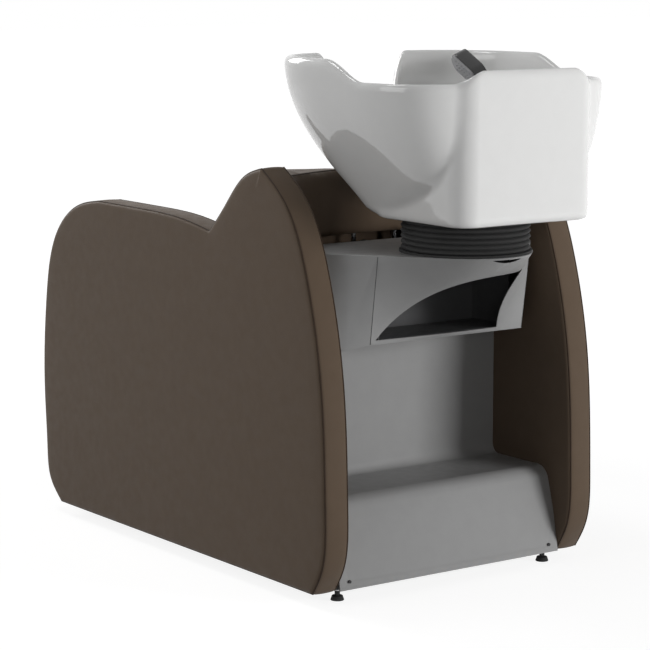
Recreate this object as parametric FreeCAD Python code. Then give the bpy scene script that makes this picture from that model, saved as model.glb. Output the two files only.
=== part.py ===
"""Massage shampoo unit: an upholstered wash chair with a tilting ceramic basin, in millimetres.

+Z is up, +Y runs from the client's feet to the basin, and the origin is on the floor under the middle
of the unit. The seat lies between two padded side panels; the basin stands behind the backrest on a
cantilever arm, over a moulded console with a tool pocket.
"""
import FreeCAD, Part
import math
import os

V = FreeCAD.Vector

# Driving sizes of the whole unit
WIDTH = 640.0            # over the two side panels
PANEL_LENGTH = 1028.0
OVERHANG = 181.0         # the basin's back behind the panels
PANEL_THICK = 58.0
ARM_HEIGHT = 680.0
WING_RISE = 108.0        # the wings above the armrests
WING_HEIGHT = ARM_HEIGHT + WING_RISE
FLOOR_GAP = 24.0         # underside of the panels above the floor
SEAT_HEIGHT = 450.0
FIT_GAP = 0.4            # play between neighbouring pieces
SHAFT_PLAY = 0.05        # radial play of a shaft in its bore
OVERCUT = 1.0            # how far a cutting tool runs past a face

# Stations along the unit
FRONT_Y = -(PANEL_LENGTH + OVERHANG) / 2
REAR_Y = FRONT_Y + PANEL_LENGTH
BASIN_REAR_Y = REAR_Y + OVERHANG
PIVOT_INSET = 182.0      # the tilt axis from the basin's back
PIVOT_Y = BASIN_REAR_Y - PIVOT_INSET
COVER_INSET = 231.0      # the upright cover from the tilt axis
COVER_Y = PIVOT_Y - COVER_INSET
INNER_X = WIDTH / 2 - PANEL_THICK
CLEAR_X = INNER_X - FIT_GAP

# Side panels
BOARD_THICK = 18.0
BOARD_INSET = 22.0
SEAM_ROUND = 6.0

# Chassis and feet
TUBE = 30.0
POST_INSET = 97.0
POST_SET_BACK = 68.0
FOOT_X = INNER_X - TUBE / 2
FOOT_REAR_Y = REAR_Y - 2 * TUBE
FOOT_FRONT_Y = FRONT_Y + 3 * TUBE
FOOT_RADIUS = 13.0
FOOT_PAD = 9.0
STEM_RADIUS = 5.0
STEM_LENGTH = 36.0
NUT_RADIUS = 9.0
NUT_HEIGHT = 5.0

# Rear cover and console
COVER_WALL = 4.0
CONSOLE_HEIGHT = 166.0
CONSOLE_DROP = 46.0      # its top under the armrests
CONSOLE_TOP_Z = ARM_HEIGHT - CONSOLE_DROP
CONSOLE_BOTTOM_Z = CONSOLE_TOP_Z - CONSOLE_HEIGHT
CONSOLE_WALL = 4.0
CONSOLE_TIP = 130.0      # prow behind the tilt axis
CHEEK_LEAD = 28.0
CHEEK_INSET = 82.0
CHEEK_Y = PIVOT_Y - CHEEK_LEAD
CHEEK_X = INNER_X - CHEEK_INSET
CHEEK_SWEEP = 111.0      # how far the cheeks run back to the panels
CHEEK_SET_IN = 23.0      # underside of the cheeks, set in from the top
STEP_TOP_Z = 186.0
STEP_REAR_Y = REAR_Y - TUBE
STEP_NOSE = 40.0
STEP_FILLET = 20.0
STEP_DRAFT = 16.0
CREASE_Z = 106.0
SCREW_RADIUS = 3.0
POCKET_LEFT = 166.0      # reach of the pocket's scoop to the left of the tilt axis, as seen from behind
POCKET_RIGHT = 66.0
POCKET_CREST = 109.0
POCKET_RISE = 121.0
LINER_WALL = 3.0

# Seat
SEAT_BOARD = 18.0
SEAT_PAD = 102.0
SEAT_INSET = 24.0
SEAT_FRONT_Y = FRONT_Y + SEAT_INSET
SEAT_CROWN = 14.0
SEAT_ROUND = 24.0
SEAT_DRAW = 5.0          # how far the cushion's edges are drawn in
APRON_THICK = 30.0

# Backrest
BACK_BOARD = 18.0
BACK_ROOM = 121.5        # from the board's face to the rear cover
BACK_BOARD_Y = COVER_Y - COVER_WALL - BACK_ROOM
BACK_TOP_Z = WING_HEIGHT - SEAM_ROUND
BACK_LEAN = 46.0         # how much thicker the front cushion is at its foot
BACK_PAD = 52.0
BACK_CROWN = 16.0
BACK_SIDE_DEPTH = 128.0  # rear pad behind the board, at the panels
BACK_MID_DEPTH = 50.0    # rear pad behind the board, in the middle
BACK_HOLLOW = 26.0       # room in the pads for the massage gear
WINDOW_HALF = 130.0      # opening in the board for the massage gear
HEAD_DROP = 36.0         # the head's front edge under the wings' crest
SEAT_GAP = 8.0
SEAT_REAR_Y = BACK_BOARD_Y - BACK_PAD - BACK_LEAN - SEAT_GAP

# Bellows and tilt pivot
BELLOWS_RADIUS = 119.0
BELLOWS_WALL = 2.5
BELLOWS_HEIGHT = 60.0
RIB_COUNT = 6
RIB_DEPTH = 8.0
RING_HEIGHT = 4.0
RING_WIDTH = 10.0
FOOT_Z = CONSOLE_TOP_Z + RING_HEIGHT + BELLOWS_HEIGHT
TILT_Z = CONSOLE_TOP_Z + BELLOWS_HEIGHT / 2
PIN_RADIUS = 8.0
EAR_X = 30.0
EAR_THICK = 12.0
EAR_RADIUS = 18.0
LUG_THICK = 10.0

# Basin
BASIN_HEIGHT = 290.0     # foot to horns
RIM_HEIGHT = FOOT_Z + BASIN_HEIGHT
BOWL_HALF_WIDTH = 256.0
BOWL_LENGTH = 522.0
BOWL_POWER = 3.0         # squareness of the bowl's plan before its middle
BOWL_REAR_POWER = 3.7    # and behind it
BOWL_FOOT_HALF = 145.0   # the bowl's plan at the foot
BOWL_FOOT_LEAD = 117.0   # its front there, before the tilt axis
BOWL_TUCK = 250.0        # its back there, drawn forward into the box
BOWL_BACK = 6.0          # the bowl's back end inside the box's back
BASIN_WALL = 14.0
BOX_HALF_WIDTH = 157.0
BOX_FRONT = 83.0         # the foot's front end before the tilt axis
BOX_ROUND = 34.0
SIDE_DIP = 38.0
REAR_DROP = 15.0
DIP_START = 105.0        # where the side rims begin to fall, before the tilt axis
DIP_END = 135.0          # where they begin to rise again, behind it
NECK_HALF_WIDTH = 95.0
NECK_DEPTH = 113.0
NECK_ROUND = 60.0
BOWL_BASE = 32.0
BOWL_FLOOR_Z = FOOT_Z + BOWL_BASE
LEDGE_DROP = 108.0
LEDGE_Z = RIM_HEIGHT - LEDGE_DROP
LEDGE_DEPTH = 104.0
DRAIN_RADIUS = 24.0
CRADLE_X = 110.0
CRADLE_Y = 80.0
CRADLE_THICK = 8.0

# Hand shower and mixer on the ledge
HANDSET_TILT = 28.0      # rise of the handle, in degrees
HANDLE_RADIUS = 13.0
HANDLE_LENGTH = 126.0
HANDSET_ROLL = 60.0      # turn of the spray face towards the left, in degrees
HEAD_RADIUS = 20.0       # round end of the flat head
HEAD_REACH = 44.0
HEAD_HEIGHT = 24.0
HOLDER_HEIGHT = 40.0
HOLDER_POST = 28.0
HOLDER_INSET = 58.0
MIXER_X = 84.0
MIXER_INSET = 52.0
MIXER_RADIUS = 20.0
MIXER_HEIGHT = 30.0
CAP_HEIGHT = 14.0
LEVER_LENGTH = 50.0
LEVER_RADIUS = 4.0

# Massage gear behind the back cushion
RAIL_RADIUS = 6.0
RAIL_X = 100.0
SCREW_SHAFT_RADIUS = 5.0
TRAVEL = 80.0
CARRIAGE_HEIGHT = 40.0
GEAR_DEPTH = 16.0
MOTOR_HEIGHT = 40.0
MASSAGE_DROP = 192.0     # middle of the travel under the back's top
MASSAGE_MID_Z = BACK_TOP_Z - MASSAGE_DROP
MASSAGE_Y = BACK_BOARD_Y + BACK_BOARD / 2
ROLLER_RADIUS = 9.0
ROLLER_SHAFT = 4.0
ROLLER_X = 46.0
ROLLER_WIDTH = 24.0

# Keypad on the right armrest
KEYPAD_INSET = 274.5
KEYPAD_DROP = 80.0
KEYPAD_Y = FRONT_Y + KEYPAD_INSET
KEYPAD_Z = ARM_HEIGHT - KEYPAD_DROP
KEYPAD_LENGTH = 84.0
KEYPAD_HEIGHT = 34.0
KEYPAD_DEPTH = 10.0
KEYPAD_BACK = 3.0
BUTTON_RADIUS = 8.0
BUTTON_PITCH = 24.0
BUTTON_TRAVEL = 2.0

# Pipes
WASTE_RADIUS = 20.0
WASTE_WALL = 2.5
SPIGOT_LENGTH = 24.0
SPIGOT_STEP = 1.5
INLET_RADIUS = 8.3
INLET_NECK = 7.0
INLET_BORE = 4.0
INLET_COLLAR = 12.3
BRACKET_THICK = 4.0


def box(x0, x1, y0, y1, z0, z1):
    """A box between the given limits."""
    return Part.makeBox(x1 - x0, y1 - y0, z1 - z0, V(x0, y0, z0))


def rod(radius, start, end):
    """A round rod between two points."""
    axis = end.sub(start)
    return Part.makeCylinder(radius, axis.Length, start, axis)


def spline(points):
    """A smooth edge through points."""
    curve = Part.BSplineCurve()
    curve.interpolate(points)
    return curve.toShape()


def prism_x(wire, x0, x1):
    """A solid from a closed wire drawn at X zero."""
    solid = Part.Face(wire).extrude(V(x1 - x0, 0, 0))
    solid.translate(V(x0, 0, 0))
    return solid


def polygon(points):
    """A closed wire of straight edges."""
    return Part.makePolygon(points + [points[0]])


def mirrored(shape):
    """The same shape on the other side of the middle plane."""
    return shape.mirror(V(0, 0, 0), V(1, 0, 0))


def save(name, shape):
    """Write one piece as a STEP file."""
    shape.exportStep("parts/" + name + ".step")


def panel_wire(inset):
    """Outline of a side panel in the YZ plane, drawn in by an inset everywhere but at the foot."""
    front = FRONT_Y + inset
    length = PANEL_LENGTH - 2 * inset
    low = FLOOR_GAP
    arm = ARM_HEIGHT - inset - low
    wing = WING_HEIGHT - inset - low

    def on_arm(along, up):
        """A point given in shares of the length and of the armrest's height."""
        return V(0, front + length * along, low + arm * up)

    def on_wing(along, up):
        """A point given in shares of the length and of the wing's height."""
        return V(0, front + length * along, low + wing * up)

    toe = on_arm(0.0623, 0)
    arm_front = on_arm(0.2335, 1)
    notch = on_arm(0.634, 0.9665)
    crest = on_wing(0.8054, 1)
    heel = on_arm(0.961, 0)
    nose = spline([toe, on_arm(0.0165, 0.073), on_arm(0.0068, 0.172), on_arm(0, 0.369), on_arm(0.0146, 0.666),
                   on_arm(0.0564, 0.867), on_arm(0.145, 0.973), arm_front])
    rest = spline([arm_front, on_arm(0.389, 0.9985), on_arm(0.545, 0.988), notch])
    wing_front = spline([notch, on_wing(0.687, 0.899), on_wing(0.754, 0.979), crest])
    back = spline([crest, on_wing(0.8784, 0.9254), on_wing(0.9446, 0.755), on_wing(0.9874, 0.5026),
                   on_wing(1, 0.2016), on_wing(0.9903, 0.068), heel])
    return Part.Wire([nose, rest, wing_front, back, Part.makeLine(heel, toe)])


def side_board():
    """Plywood core of the left panel."""
    middle = INNER_X + PANEL_THICK / 2
    return prism_x(panel_wire(BOARD_INSET), middle - BOARD_THICK / 2, middle + BOARD_THICK / 2)


def side_pad():
    """Padding and sewn cover of the left panel, open at the foot where the board goes in."""
    core = panel_wire(0)
    body = prism_x(core, INNER_X + SEAM_ROUND, WIDTH / 2 - SEAM_ROUND)
    outer_lip = Part.makeLoft([moved(core, WIDTH / 2 - SEAM_ROUND), moved(panel_wire(SEAM_ROUND), WIDTH / 2)],
                              True, True)
    inner_lip = Part.makeLoft([moved(panel_wire(SEAM_ROUND), INNER_X), moved(core, INNER_X + SEAM_ROUND)],
                              True, True)
    middle = INNER_X + PANEL_THICK / 2
    half = BOARD_THICK / 2 + FIT_GAP
    room = prism_x(panel_wire(BOARD_INSET - FIT_GAP), middle - half, middle + half)
    return body.fuse([outer_lip, inner_lip]).cut(room).removeSplitter()


def moved(wire, x):
    """A wire shifted along X."""
    copy = wire.copy()
    copy.translate(V(x, 0, 0))
    return copy


RAIL_OUT = CLEAR_X
RAIL_IN = RAIL_OUT - TUBE
RAIL_TOP = FLOOR_GAP + TUBE
RAIL_FRONT_Y = FRONT_Y + 2 * TUBE
RAIL_REAR_Y = STEP_REAR_Y - 3 * COVER_WALL
POST_X = INNER_X - POST_INSET
POST_Y = BACK_BOARD_Y + POST_SET_BACK
SEAT_POST_Y = RAIL_FRONT_Y + 2.5 * TUBE
INLET_X = POST_X - 2.5 * TUBE
ARM_TOP_Z = CONSOLE_TOP_Z - 2 * CONSOLE_WALL
ARM_BOTTOM_Z = ARM_TOP_Z - TUBE
SEAT_BOARD_Z = SEAT_HEIGHT - SEAT_PAD - SEAT_BOARD


def foot_spots():
    """Floor positions of the four feet."""
    return {"front_left": (FOOT_X, FOOT_FRONT_Y), "front_right": (-FOOT_X, FOOT_FRONT_Y),
            "rear_left": (FOOT_X, FOOT_REAR_Y), "rear_right": (-FOOT_X, FOOT_REAR_Y)}


def base_frame():
    """Welded chassis: rails, cross tubes, seat posts and two uprights for the basin arm."""
    solid = box(RAIL_IN, RAIL_OUT, RAIL_FRONT_Y, RAIL_REAR_Y, FLOOR_GAP, RAIL_TOP)
    pieces = [mirrored(solid)]
    for y in (RAIL_FRONT_Y, SEAT_POST_Y, POST_Y, RAIL_REAR_Y - TUBE):
        pieces.append(box(-RAIL_IN, RAIL_IN, y, y + TUBE, FLOOR_GAP, RAIL_TOP))
    for x in (-POST_X - TUBE / 2, POST_X - TUBE / 2):
        pieces.append(box(x, x + TUBE, POST_Y, POST_Y + TUBE, RAIL_TOP, ARM_BOTTOM_Z))
        pieces.append(box(x, x + TUBE, SEAT_POST_Y, SEAT_POST_Y + TUBE, RAIL_TOP, SEAT_BOARD_Z))
    top = ARM_BOTTOM_Z
    pieces.append(box(-POST_X - TUBE / 2, POST_X + TUBE / 2, POST_Y, POST_Y + TUBE, top - TUBE, top))
    pieces.append(box(-POST_X - TUBE / 2, POST_X + TUBE / 2, POST_Y, POST_Y + TUBE, SEAT_BOARD_Z - TUBE,
                      SEAT_BOARD_Z))
    pieces.append(box(-POST_X + TUBE / 2, POST_X - TUBE / 2, SEAT_POST_Y, SEAT_POST_Y + TUBE,
                      SEAT_BOARD_Z - TUBE, SEAT_BOARD_Z))
    shelf = SEAT_BOARD_Z
    for x in (-POST_X - TUBE / 2, POST_X - TUBE / 2):
        pieces.append(box(x, x + TUBE, SEAT_POST_Y + TUBE, POST_Y, shelf - TUBE, shelf))
    solid = solid.fuse(pieces).removeSplitter()
    for x, y in foot_spots().values():
        hole = STEM_RADIUS + SHAFT_PLAY
        solid = solid.cut(rod(hole, V(x, y, FLOOR_GAP - OVERCUT), V(x, y, RAIL_TOP + OVERCUT)))
    return solid


def foot(x, y):
    """One levelling foot: a rubber-soled pad on a threaded stem."""
    pad = Part.makeCone(FOOT_RADIUS, FOOT_RADIUS - 3, FOOT_PAD, V(x, y, 0))
    stem = rod(STEM_RADIUS, V(x, y, FOOT_PAD - OVERCUT), V(x, y, FOOT_PAD + STEM_LENGTH))
    return pad.fuse(stem).removeSplitter()


def lock_nuts():
    """Hexagon lock nuts under the rails, one on each stem."""
    nuts = []
    for x, y in foot_spots().values():
        corners = []
        for step in range(6):
            angle = math.radians(60 * step)
            corners.append(V(x + NUT_RADIUS * math.cos(angle), y + NUT_RADIUS * math.sin(angle),
                             FLOOR_GAP - NUT_HEIGHT))
        nut = Part.Face(polygon(corners)).extrude(V(0, 0, NUT_HEIGHT))
        hole = rod(STEM_RADIUS + SHAFT_PLAY, V(x, y, 0), V(x, y, FLOOR_GAP + OVERCUT))
        nuts.append(nut.cut(hole))
    return Part.makeCompound(nuts)


def rounded(x0, x1, y0, y1, z, r):
    """A closed wire: a rectangle at height z with round corners."""
    mid = r * (1 - math.sqrt(0.5))
    lines = [Part.makeLine(V(x0 + r, y0, z), V(x1 - r, y0, z)),
             Part.Arc(V(x1 - r, y0, z), V(x1 - mid, y0 + mid, z), V(x1, y0 + r, z)).toShape(),
             Part.makeLine(V(x1, y0 + r, z), V(x1, y1 - r, z)),
             Part.Arc(V(x1, y1 - r, z), V(x1 - mid, y1 - mid, z), V(x1 - r, y1, z)).toShape(),
             Part.makeLine(V(x1 - r, y1, z), V(x0 + r, y1, z)),
             Part.Arc(V(x0 + r, y1, z), V(x0 + mid, y1 - mid, z), V(x0, y1 - r, z)).toShape(),
             Part.makeLine(V(x0, y1 - r, z), V(x0, y0 + r, z)),
             Part.Arc(V(x0, y0 + r, z), V(x0 + mid, y0 + mid, z), V(x0 + r, y0, z)).toShape()]
    return Part.Wire(lines)


def seat_board():
    """Plywood board on the seat posts."""
    half = CLEAR_X - 2 * SEAT_DRAW
    return box(-half, half, SEAT_FRONT_Y + APRON_THICK, SEAT_REAR_Y, SEAT_BOARD_Z, SEAT_BOARD_Z + SEAT_BOARD)


def seat_outline(z, draw, tuck):
    """Level outline of the seat cushion, drawn in at its edges and tucked in further at its crown."""
    half = CLEAR_X - draw - tuck
    return rounded(-half, half, SEAT_FRONT_Y + draw + tuck, SEAT_REAR_Y - tuck, z, SEAT_ROUND + tuck / 2)


def seat_cushion():
    """Seat cushion: drawn-in sides and a crowned top."""
    base = SEAT_BOARD_Z + SEAT_BOARD
    edge = SEAT_HEIGHT - SEAT_CROWN
    foot = seat_outline(base, SEAT_DRAW, 0)
    waist = seat_outline(base + SEAT_PAD * 0.45, 0, 0)
    shoulder = seat_outline(edge, SEAT_DRAW, 0)
    head = seat_outline(SEAT_HEIGHT, SEAT_DRAW, SEAT_ROUND)
    body = Part.makeLoft([foot, waist], True, True)
    upper = Part.makeLoft([waist, shoulder], True, True)
    crown = Part.makeLoft([shoulder, head], True, True)
    return body.fuse([upper, crown]).removeSplitter()


def front_apron():
    """Padded board closing the front under the seat."""
    back = SEAT_FRONT_Y + APRON_THICK
    levels = (FLOOR_GAP + COVER_WALL, SEAT_BOARD_Z + SEAT_BOARD)
    return Part.makeLoft([rounded(-CLEAR_X, CLEAR_X, SEAT_FRONT_Y, back, z, APRON_THICK / 3) for z in levels],
                         True, True)


BACK_FOOT_Z = SEAT_BOARD_Z + SEAT_BOARD


def back_board():
    """Upright plywood board with a window for the massage gear."""
    y0 = BACK_BOARD_Y
    half = CLEAR_X - 2 * SEAT_DRAW
    solid = box(-half, half, y0, y0 + BACK_BOARD, BACK_FOOT_Z, board_top())
    window = box(-WINDOW_HALF, WINDOW_HALF, y0 - OVERCUT, y0 + BACK_BOARD + OVERCUT, massage_bottom(),
                 massage_top())
    return solid.cut(window)


def board_top():
    """Height of the board's upper edge."""
    return massage_top() + TUBE


def massage_bottom():
    """Height of the window's sill."""
    return MASSAGE_MID_Z - TRAVEL - CARRIAGE_HEIGHT / 2 - MOTOR_HEIGHT


def massage_top():
    """Height of the window's head."""
    return MASSAGE_MID_Z + TRAVEL + CARRIAGE_HEIGHT / 2 + SHAFT_PLAY


def back_cushion():
    """Front cushion of the backrest: a crowned wedge, hollow over the massage gear."""
    y1 = BACK_BOARD_Y
    heights = (BACK_FOOT_Z, BACK_FOOT_Z + (BACK_TOP_Z - BACK_FOOT_Z) * 0.5, BACK_TOP_Z)
    wires = []
    for z in heights:
        lean = BACK_LEAN * (BACK_TOP_Z - z) / (BACK_TOP_Z - BACK_FOOT_Z)
        front = y1 - BACK_PAD - lean
        right = V(CLEAR_X, y1, z)
        left = V(-CLEAR_X, y1, z)
        wires.append(Part.Wire([Part.makeLine(left, right),
                                Part.makeLine(right, V(CLEAR_X, front + BACK_CROWN, z)),
                                Part.Arc(V(CLEAR_X, front + BACK_CROWN, z), V(0, front, z),
                                         V(-CLEAR_X, front + BACK_CROWN, z)).toShape(),
                                Part.makeLine(V(-CLEAR_X, front + BACK_CROWN, z), left)]))
    solid = Part.makeLoft(wires, True, True)
    hollow = box(-WINDOW_HALF, WINDOW_HALF, y1 - BACK_HOLLOW, y1 + OVERCUT, massage_bottom(), massage_top())
    return solid.cut(hollow).cut(head_cutter())


def head_cutter():
    """Everything above the backrest's head, which slopes with the front of the wings."""
    rise = BACK_PAD + BACK_LEAN
    back = BACK_BOARD_Y + BACK_BOARD
    knee = V(0, BACK_BOARD_Y, BACK_TOP_Z - HEAD_DROP)
    crest = V(0, back + HEAD_DROP, BACK_TOP_Z - HEAD_DROP / 4)
    end = V(0, back + BACK_SIDE_DEPTH + TUBE, BACK_TOP_Z - HEAD_DROP / 6)
    front = knee - V(0, rise, rise)
    high = BACK_TOP_Z + TUBE
    wire = polygon([front, knee, crest, end, V(0, end.y, high), V(0, front.y, high)])
    return prism_x(wire, -INNER_X, INNER_X)


def back_rear_pad():
    """Curved upholstered back of the backrest, over the board's top and hollow over the massage gear."""
    y0 = BACK_BOARD_Y + BACK_BOARD
    wires = []
    for z in (CONSOLE_TOP_Z + FIT_GAP, BACK_TOP_Z):
        right = V(CLEAR_X, y0, z)
        left = V(-CLEAR_X, y0, z)
        wires.append(Part.Wire([Part.makeLine(left, right),
                                Part.makeLine(right, V(CLEAR_X, y0 + BACK_SIDE_DEPTH, z)),
                                Part.Arc(V(CLEAR_X, y0 + BACK_SIDE_DEPTH, z), V(0, y0 + BACK_MID_DEPTH, z),
                                         V(-CLEAR_X, y0 + BACK_SIDE_DEPTH, z)).toShape(),
                                Part.makeLine(V(-CLEAR_X, y0 + BACK_SIDE_DEPTH, z), left)]))
    head = box(-CLEAR_X, CLEAR_X, BACK_BOARD_Y, y0, board_top(), BACK_TOP_Z)
    solid = Part.makeLoft(wires, True, True).fuse(head).removeSplitter()
    hollow = box(-WINDOW_HALF, WINDOW_HALF, y0 - OVERCUT, y0 + BACK_HOLLOW, CONSOLE_TOP_Z, massage_top())
    return solid.cut(hollow).cut(head_cutter())


def cover_profile(inset):
    """Closed outline of the rear cover's outside, set in by the wall for its inside."""
    face = COVER_Y - inset
    tread = STEP_TOP_Z - inset
    heel = STEP_REAR_Y - inset
    low = FLOOR_GAP
    front = COVER_Y - COVER_WALL
    half = math.sqrt(0.5)
    a = V(0, front - inset, low)
    b = V(0, front - inset, CONSOLE_BOTTOM_Z)
    c = V(0, face, CONSOLE_BOTTOM_Z)
    d = V(0, face, tread + STEP_FILLET)
    e = V(0, face + STEP_FILLET, tread)
    mid = V(0, face + STEP_FILLET * (1 - half), tread + STEP_FILLET * (1 - half))
    nose = V(0, heel - STEP_DRAFT - STEP_NOSE * 1.25, tread)
    slope = V(0, heel - STEP_DRAFT - STEP_NOSE * 0.42, tread - STEP_NOSE * 0.5)
    crease = V(0, heel - STEP_DRAFT, CREASE_Z)
    knee = V(0, heel - STEP_DRAFT - STEP_NOSE * 0.68, tread - STEP_NOSE * 0.16)
    foot = V(0, heel, low)
    edges = [Part.makeLine(a, b), Part.makeLine(b, c), Part.makeLine(c, d), Part.Arc(d, mid, e).toShape(),
             Part.makeLine(e, nose), Part.Arc(nose, knee, slope).toShape(), Part.makeLine(slope, crease),
             Part.makeLine(crease, foot), Part.makeLine(foot, a)]
    return Part.Wire(edges)


def rear_cover():
    """Moulded cover: the upright between the panels and the step over the rear feet."""
    outer = prism_x(cover_profile(0), -CLEAR_X, CLEAR_X)
    inner = prism_x(cover_profile(COVER_WALL), -CLEAR_X - OVERCUT, CLEAR_X + OVERCUT)
    shell = outer.cut(inner)
    side = prism_x(cover_profile(0), CLEAR_X - COVER_WALL, CLEAR_X)
    keep = box(CLEAR_X - COVER_WALL, CLEAR_X, COVER_Y - COVER_WALL, STEP_REAR_Y, RAIL_TOP + FIT_GAP,
               STEP_TOP_Z)
    side = side.common(keep)
    shell = shell.fuse([side, mirrored(side)]).removeSplitter()
    for x in (-screw_x(), screw_x()):
        shell = shell.cut(rod(SCREW_RADIUS + SHAFT_PLAY, V(x, RAIL_REAR_Y, screw_z()),
                              V(x, STEP_REAR_Y + OVERCUT, screw_z())))
    return shell


def screw_x():
    """Distance of the cover screws from the middle."""
    return CLEAR_X - COVER_WALL - 6 * SCREW_RADIUS


def screw_z():
    """Height of the cover screws."""
    return FLOOR_GAP + TUBE / 2


def cover_screws():
    """Two screws through the foot of the cover, into the chassis tube."""
    screws = []
    for x in (-screw_x(), screw_x()):
        screws.append(rod(SCREW_RADIUS, V(x, RAIL_REAR_Y, screw_z()), V(x, STEP_REAR_Y, screw_z())))
    return Part.makeCompound(screws)


def console_wire(z, tip, cheek, inset):
    """Plan of the console at one height: straight at the front, a prow under the bellows."""
    side = CLEAR_X - inset
    front = COVER_Y - COVER_WALL - inset
    back = cheek - inset
    corner = CHEEK_X - inset
    point = tip - inset
    swell = point - back
    left = V(corner, back, z)
    right = V(-corner, back, z)
    wing = back - CHEEK_SWEEP
    prow = spline([left, V(corner * 0.79, back + swell * 0.28, z), V(corner * 0.57, back + swell * 0.62, z),
                   V(corner * 0.32, back + swell * 0.89, z), V(0, point, z),
                   V(-corner * 0.32, back + swell * 0.89, z), V(-corner * 0.57, back + swell * 0.62, z),
                   V(-corner * 0.79, back + swell * 0.28, z), right])
    return Part.Wire([Part.makeLine(V(side, front, z), V(side, wing, z)),
                      Part.makeLine(V(side, wing, z), left), prow,
                      Part.makeLine(right, V(-side, wing, z)),
                      Part.makeLine(V(-side, wing, z), V(-side, front, z)),
                      Part.makeLine(V(-side, front, z), V(side, front, z))])


def console_body(inset, floor, head):
    """The console's flared outer form, or its inside when set in by a wall."""
    foot = CHEEK_Y - CHEEK_SET_IN
    low = console_wire(floor, foot + OVERCUT, foot, inset)
    high = console_wire(head, PIVOT_Y + CONSOLE_TIP, CHEEK_Y, inset)
    return Part.makeLoft([low, high], True, True)


def pocket_cutter():
    """Leaf-shaped scoop through the console's near flank, leading into the tool pocket."""
    look = V(math.sin(math.radians(35.6)), math.cos(math.radians(35.6)), 0)
    across = V(-look.y, look.x, 0)
    floor = CONSOLE_BOTTOM_Z + 2 * CONSOLE_WALL
    base = V(0, PIVOT_Y, floor) - look * CHEEK_SWEEP
    left = base - across * POCKET_LEFT
    crest = base + across * POCKET_CREST + V(0, 0, POCKET_RISE)
    right = base + across * POCKET_RIGHT
    over = base - across * (POCKET_LEFT * 0.36) + V(0, 0, POCKET_RISE * 0.73)
    under = base + across * (POCKET_CREST * 0.72) + V(0, 0, POCKET_RISE * 0.56)
    wire = Part.Wire([Part.Arc(left, over, crest).toShape(), Part.Arc(crest, under, right).toShape(),
                      Part.makeLine(right, left)])
    return Part.Face(wire).extrude(look * (3 * CONSOLE_HEIGHT))


def console():
    """Moulded console with a pocket, an opening at the front for the arm and a hole for the pivot."""
    outer = console_body(0, CONSOLE_BOTTOM_Z, CONSOLE_TOP_Z)
    inner = console_body(CONSOLE_WALL, CONSOLE_BOTTOM_Z + CONSOLE_WALL, CONSOLE_TOP_Z - CONSOLE_WALL)
    radius = BELLOWS_RADIUS - 2.4 * RING_WIDTH
    hole = rod(radius, V(0, PIVOT_Y, ARM_TOP_Z), V(0, PIVOT_Y, CONSOLE_TOP_Z + OVERCUT))
    return outer.cut(inner).cut(hole).cut(pocket_cutter())


def pocket_liner():
    """Tub behind the scoop: floor, back and two ends."""
    floor = CONSOLE_BOTTOM_Z + CONSOLE_WALL
    y1 = CHEEK_Y - CHEEK_SET_IN - 2 * CONSOLE_WALL
    y0 = y1 - CHEEK_SWEEP
    half = CHEEK_X - 6 * CONSOLE_WALL
    head = ARM_BOTTOM_Z - FIT_GAP
    solid = box(-half, half, y0, y1, floor, head)
    room = half - LINER_WALL
    return solid.cut(box(-room, room, y0 + LINER_WALL, y1 + OVERCUT, floor + LINER_WALL, head + OVERCUT))


def circle_wire(radius, z):
    """A level circle about the pivot."""
    return Part.Wire(Part.makeCircle(radius, V(0, PIVOT_Y, z), V(0, 0, 1)))


BELLOWS_FOOT_Z = CONSOLE_TOP_Z + RING_HEIGHT
BELLOWS_HEAD_Z = BELLOWS_FOOT_Z + BELLOWS_HEIGHT


def ribbed(radius):
    """A stack of round ribs, each a ruled loft through four circles."""
    pitch = (BELLOWS_HEAD_Z - BELLOWS_FOOT_Z) / RIB_COUNT
    root = radius - RIB_DEPTH
    ribs = []
    for step in range(RIB_COUNT):
        z = BELLOWS_FOOT_Z + step * pitch
        ribs.append(Part.makeLoft([circle_wire(root, z), circle_wire(radius, z + pitch * 0.3),
                                   circle_wire(radius, z + pitch * 0.7), circle_wire(root, z + pitch)],
                                  True, True))
    return ribs[0].fuse(ribs[1:])


def bellows():
    """Rubber bellows between the console and the basin, round the tilt pivot."""
    inner = rod(BELLOWS_RADIUS - RIB_DEPTH - BELLOWS_WALL, V(0, PIVOT_Y, BELLOWS_FOOT_Z - OVERCUT),
                V(0, PIVOT_Y, BELLOWS_HEAD_Z + OVERCUT))
    return ribbed(BELLOWS_RADIUS).cut(inner)


def bellows_ring():
    """Clamp ring at the foot of the bellows."""
    z = CONSOLE_TOP_Z
    outer = rod(BELLOWS_RADIUS + LINER_WALL, V(0, PIVOT_Y, z), V(0, PIVOT_Y, z + RING_HEIGHT))
    return outer.cut(rod(BELLOWS_RADIUS - RING_WIDTH, V(0, PIVOT_Y, z - OVERCUT),
                         V(0, PIVOT_Y, z + RING_HEIGHT + OVERCUT)))


ARM_X = EAR_X + EAR_THICK
CUP_RADIUS = WASTE_RADIUS + PIN_RADIUS
ARM_END_Y = PIVOT_Y + CUP_RADIUS + EAR_THICK


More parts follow.
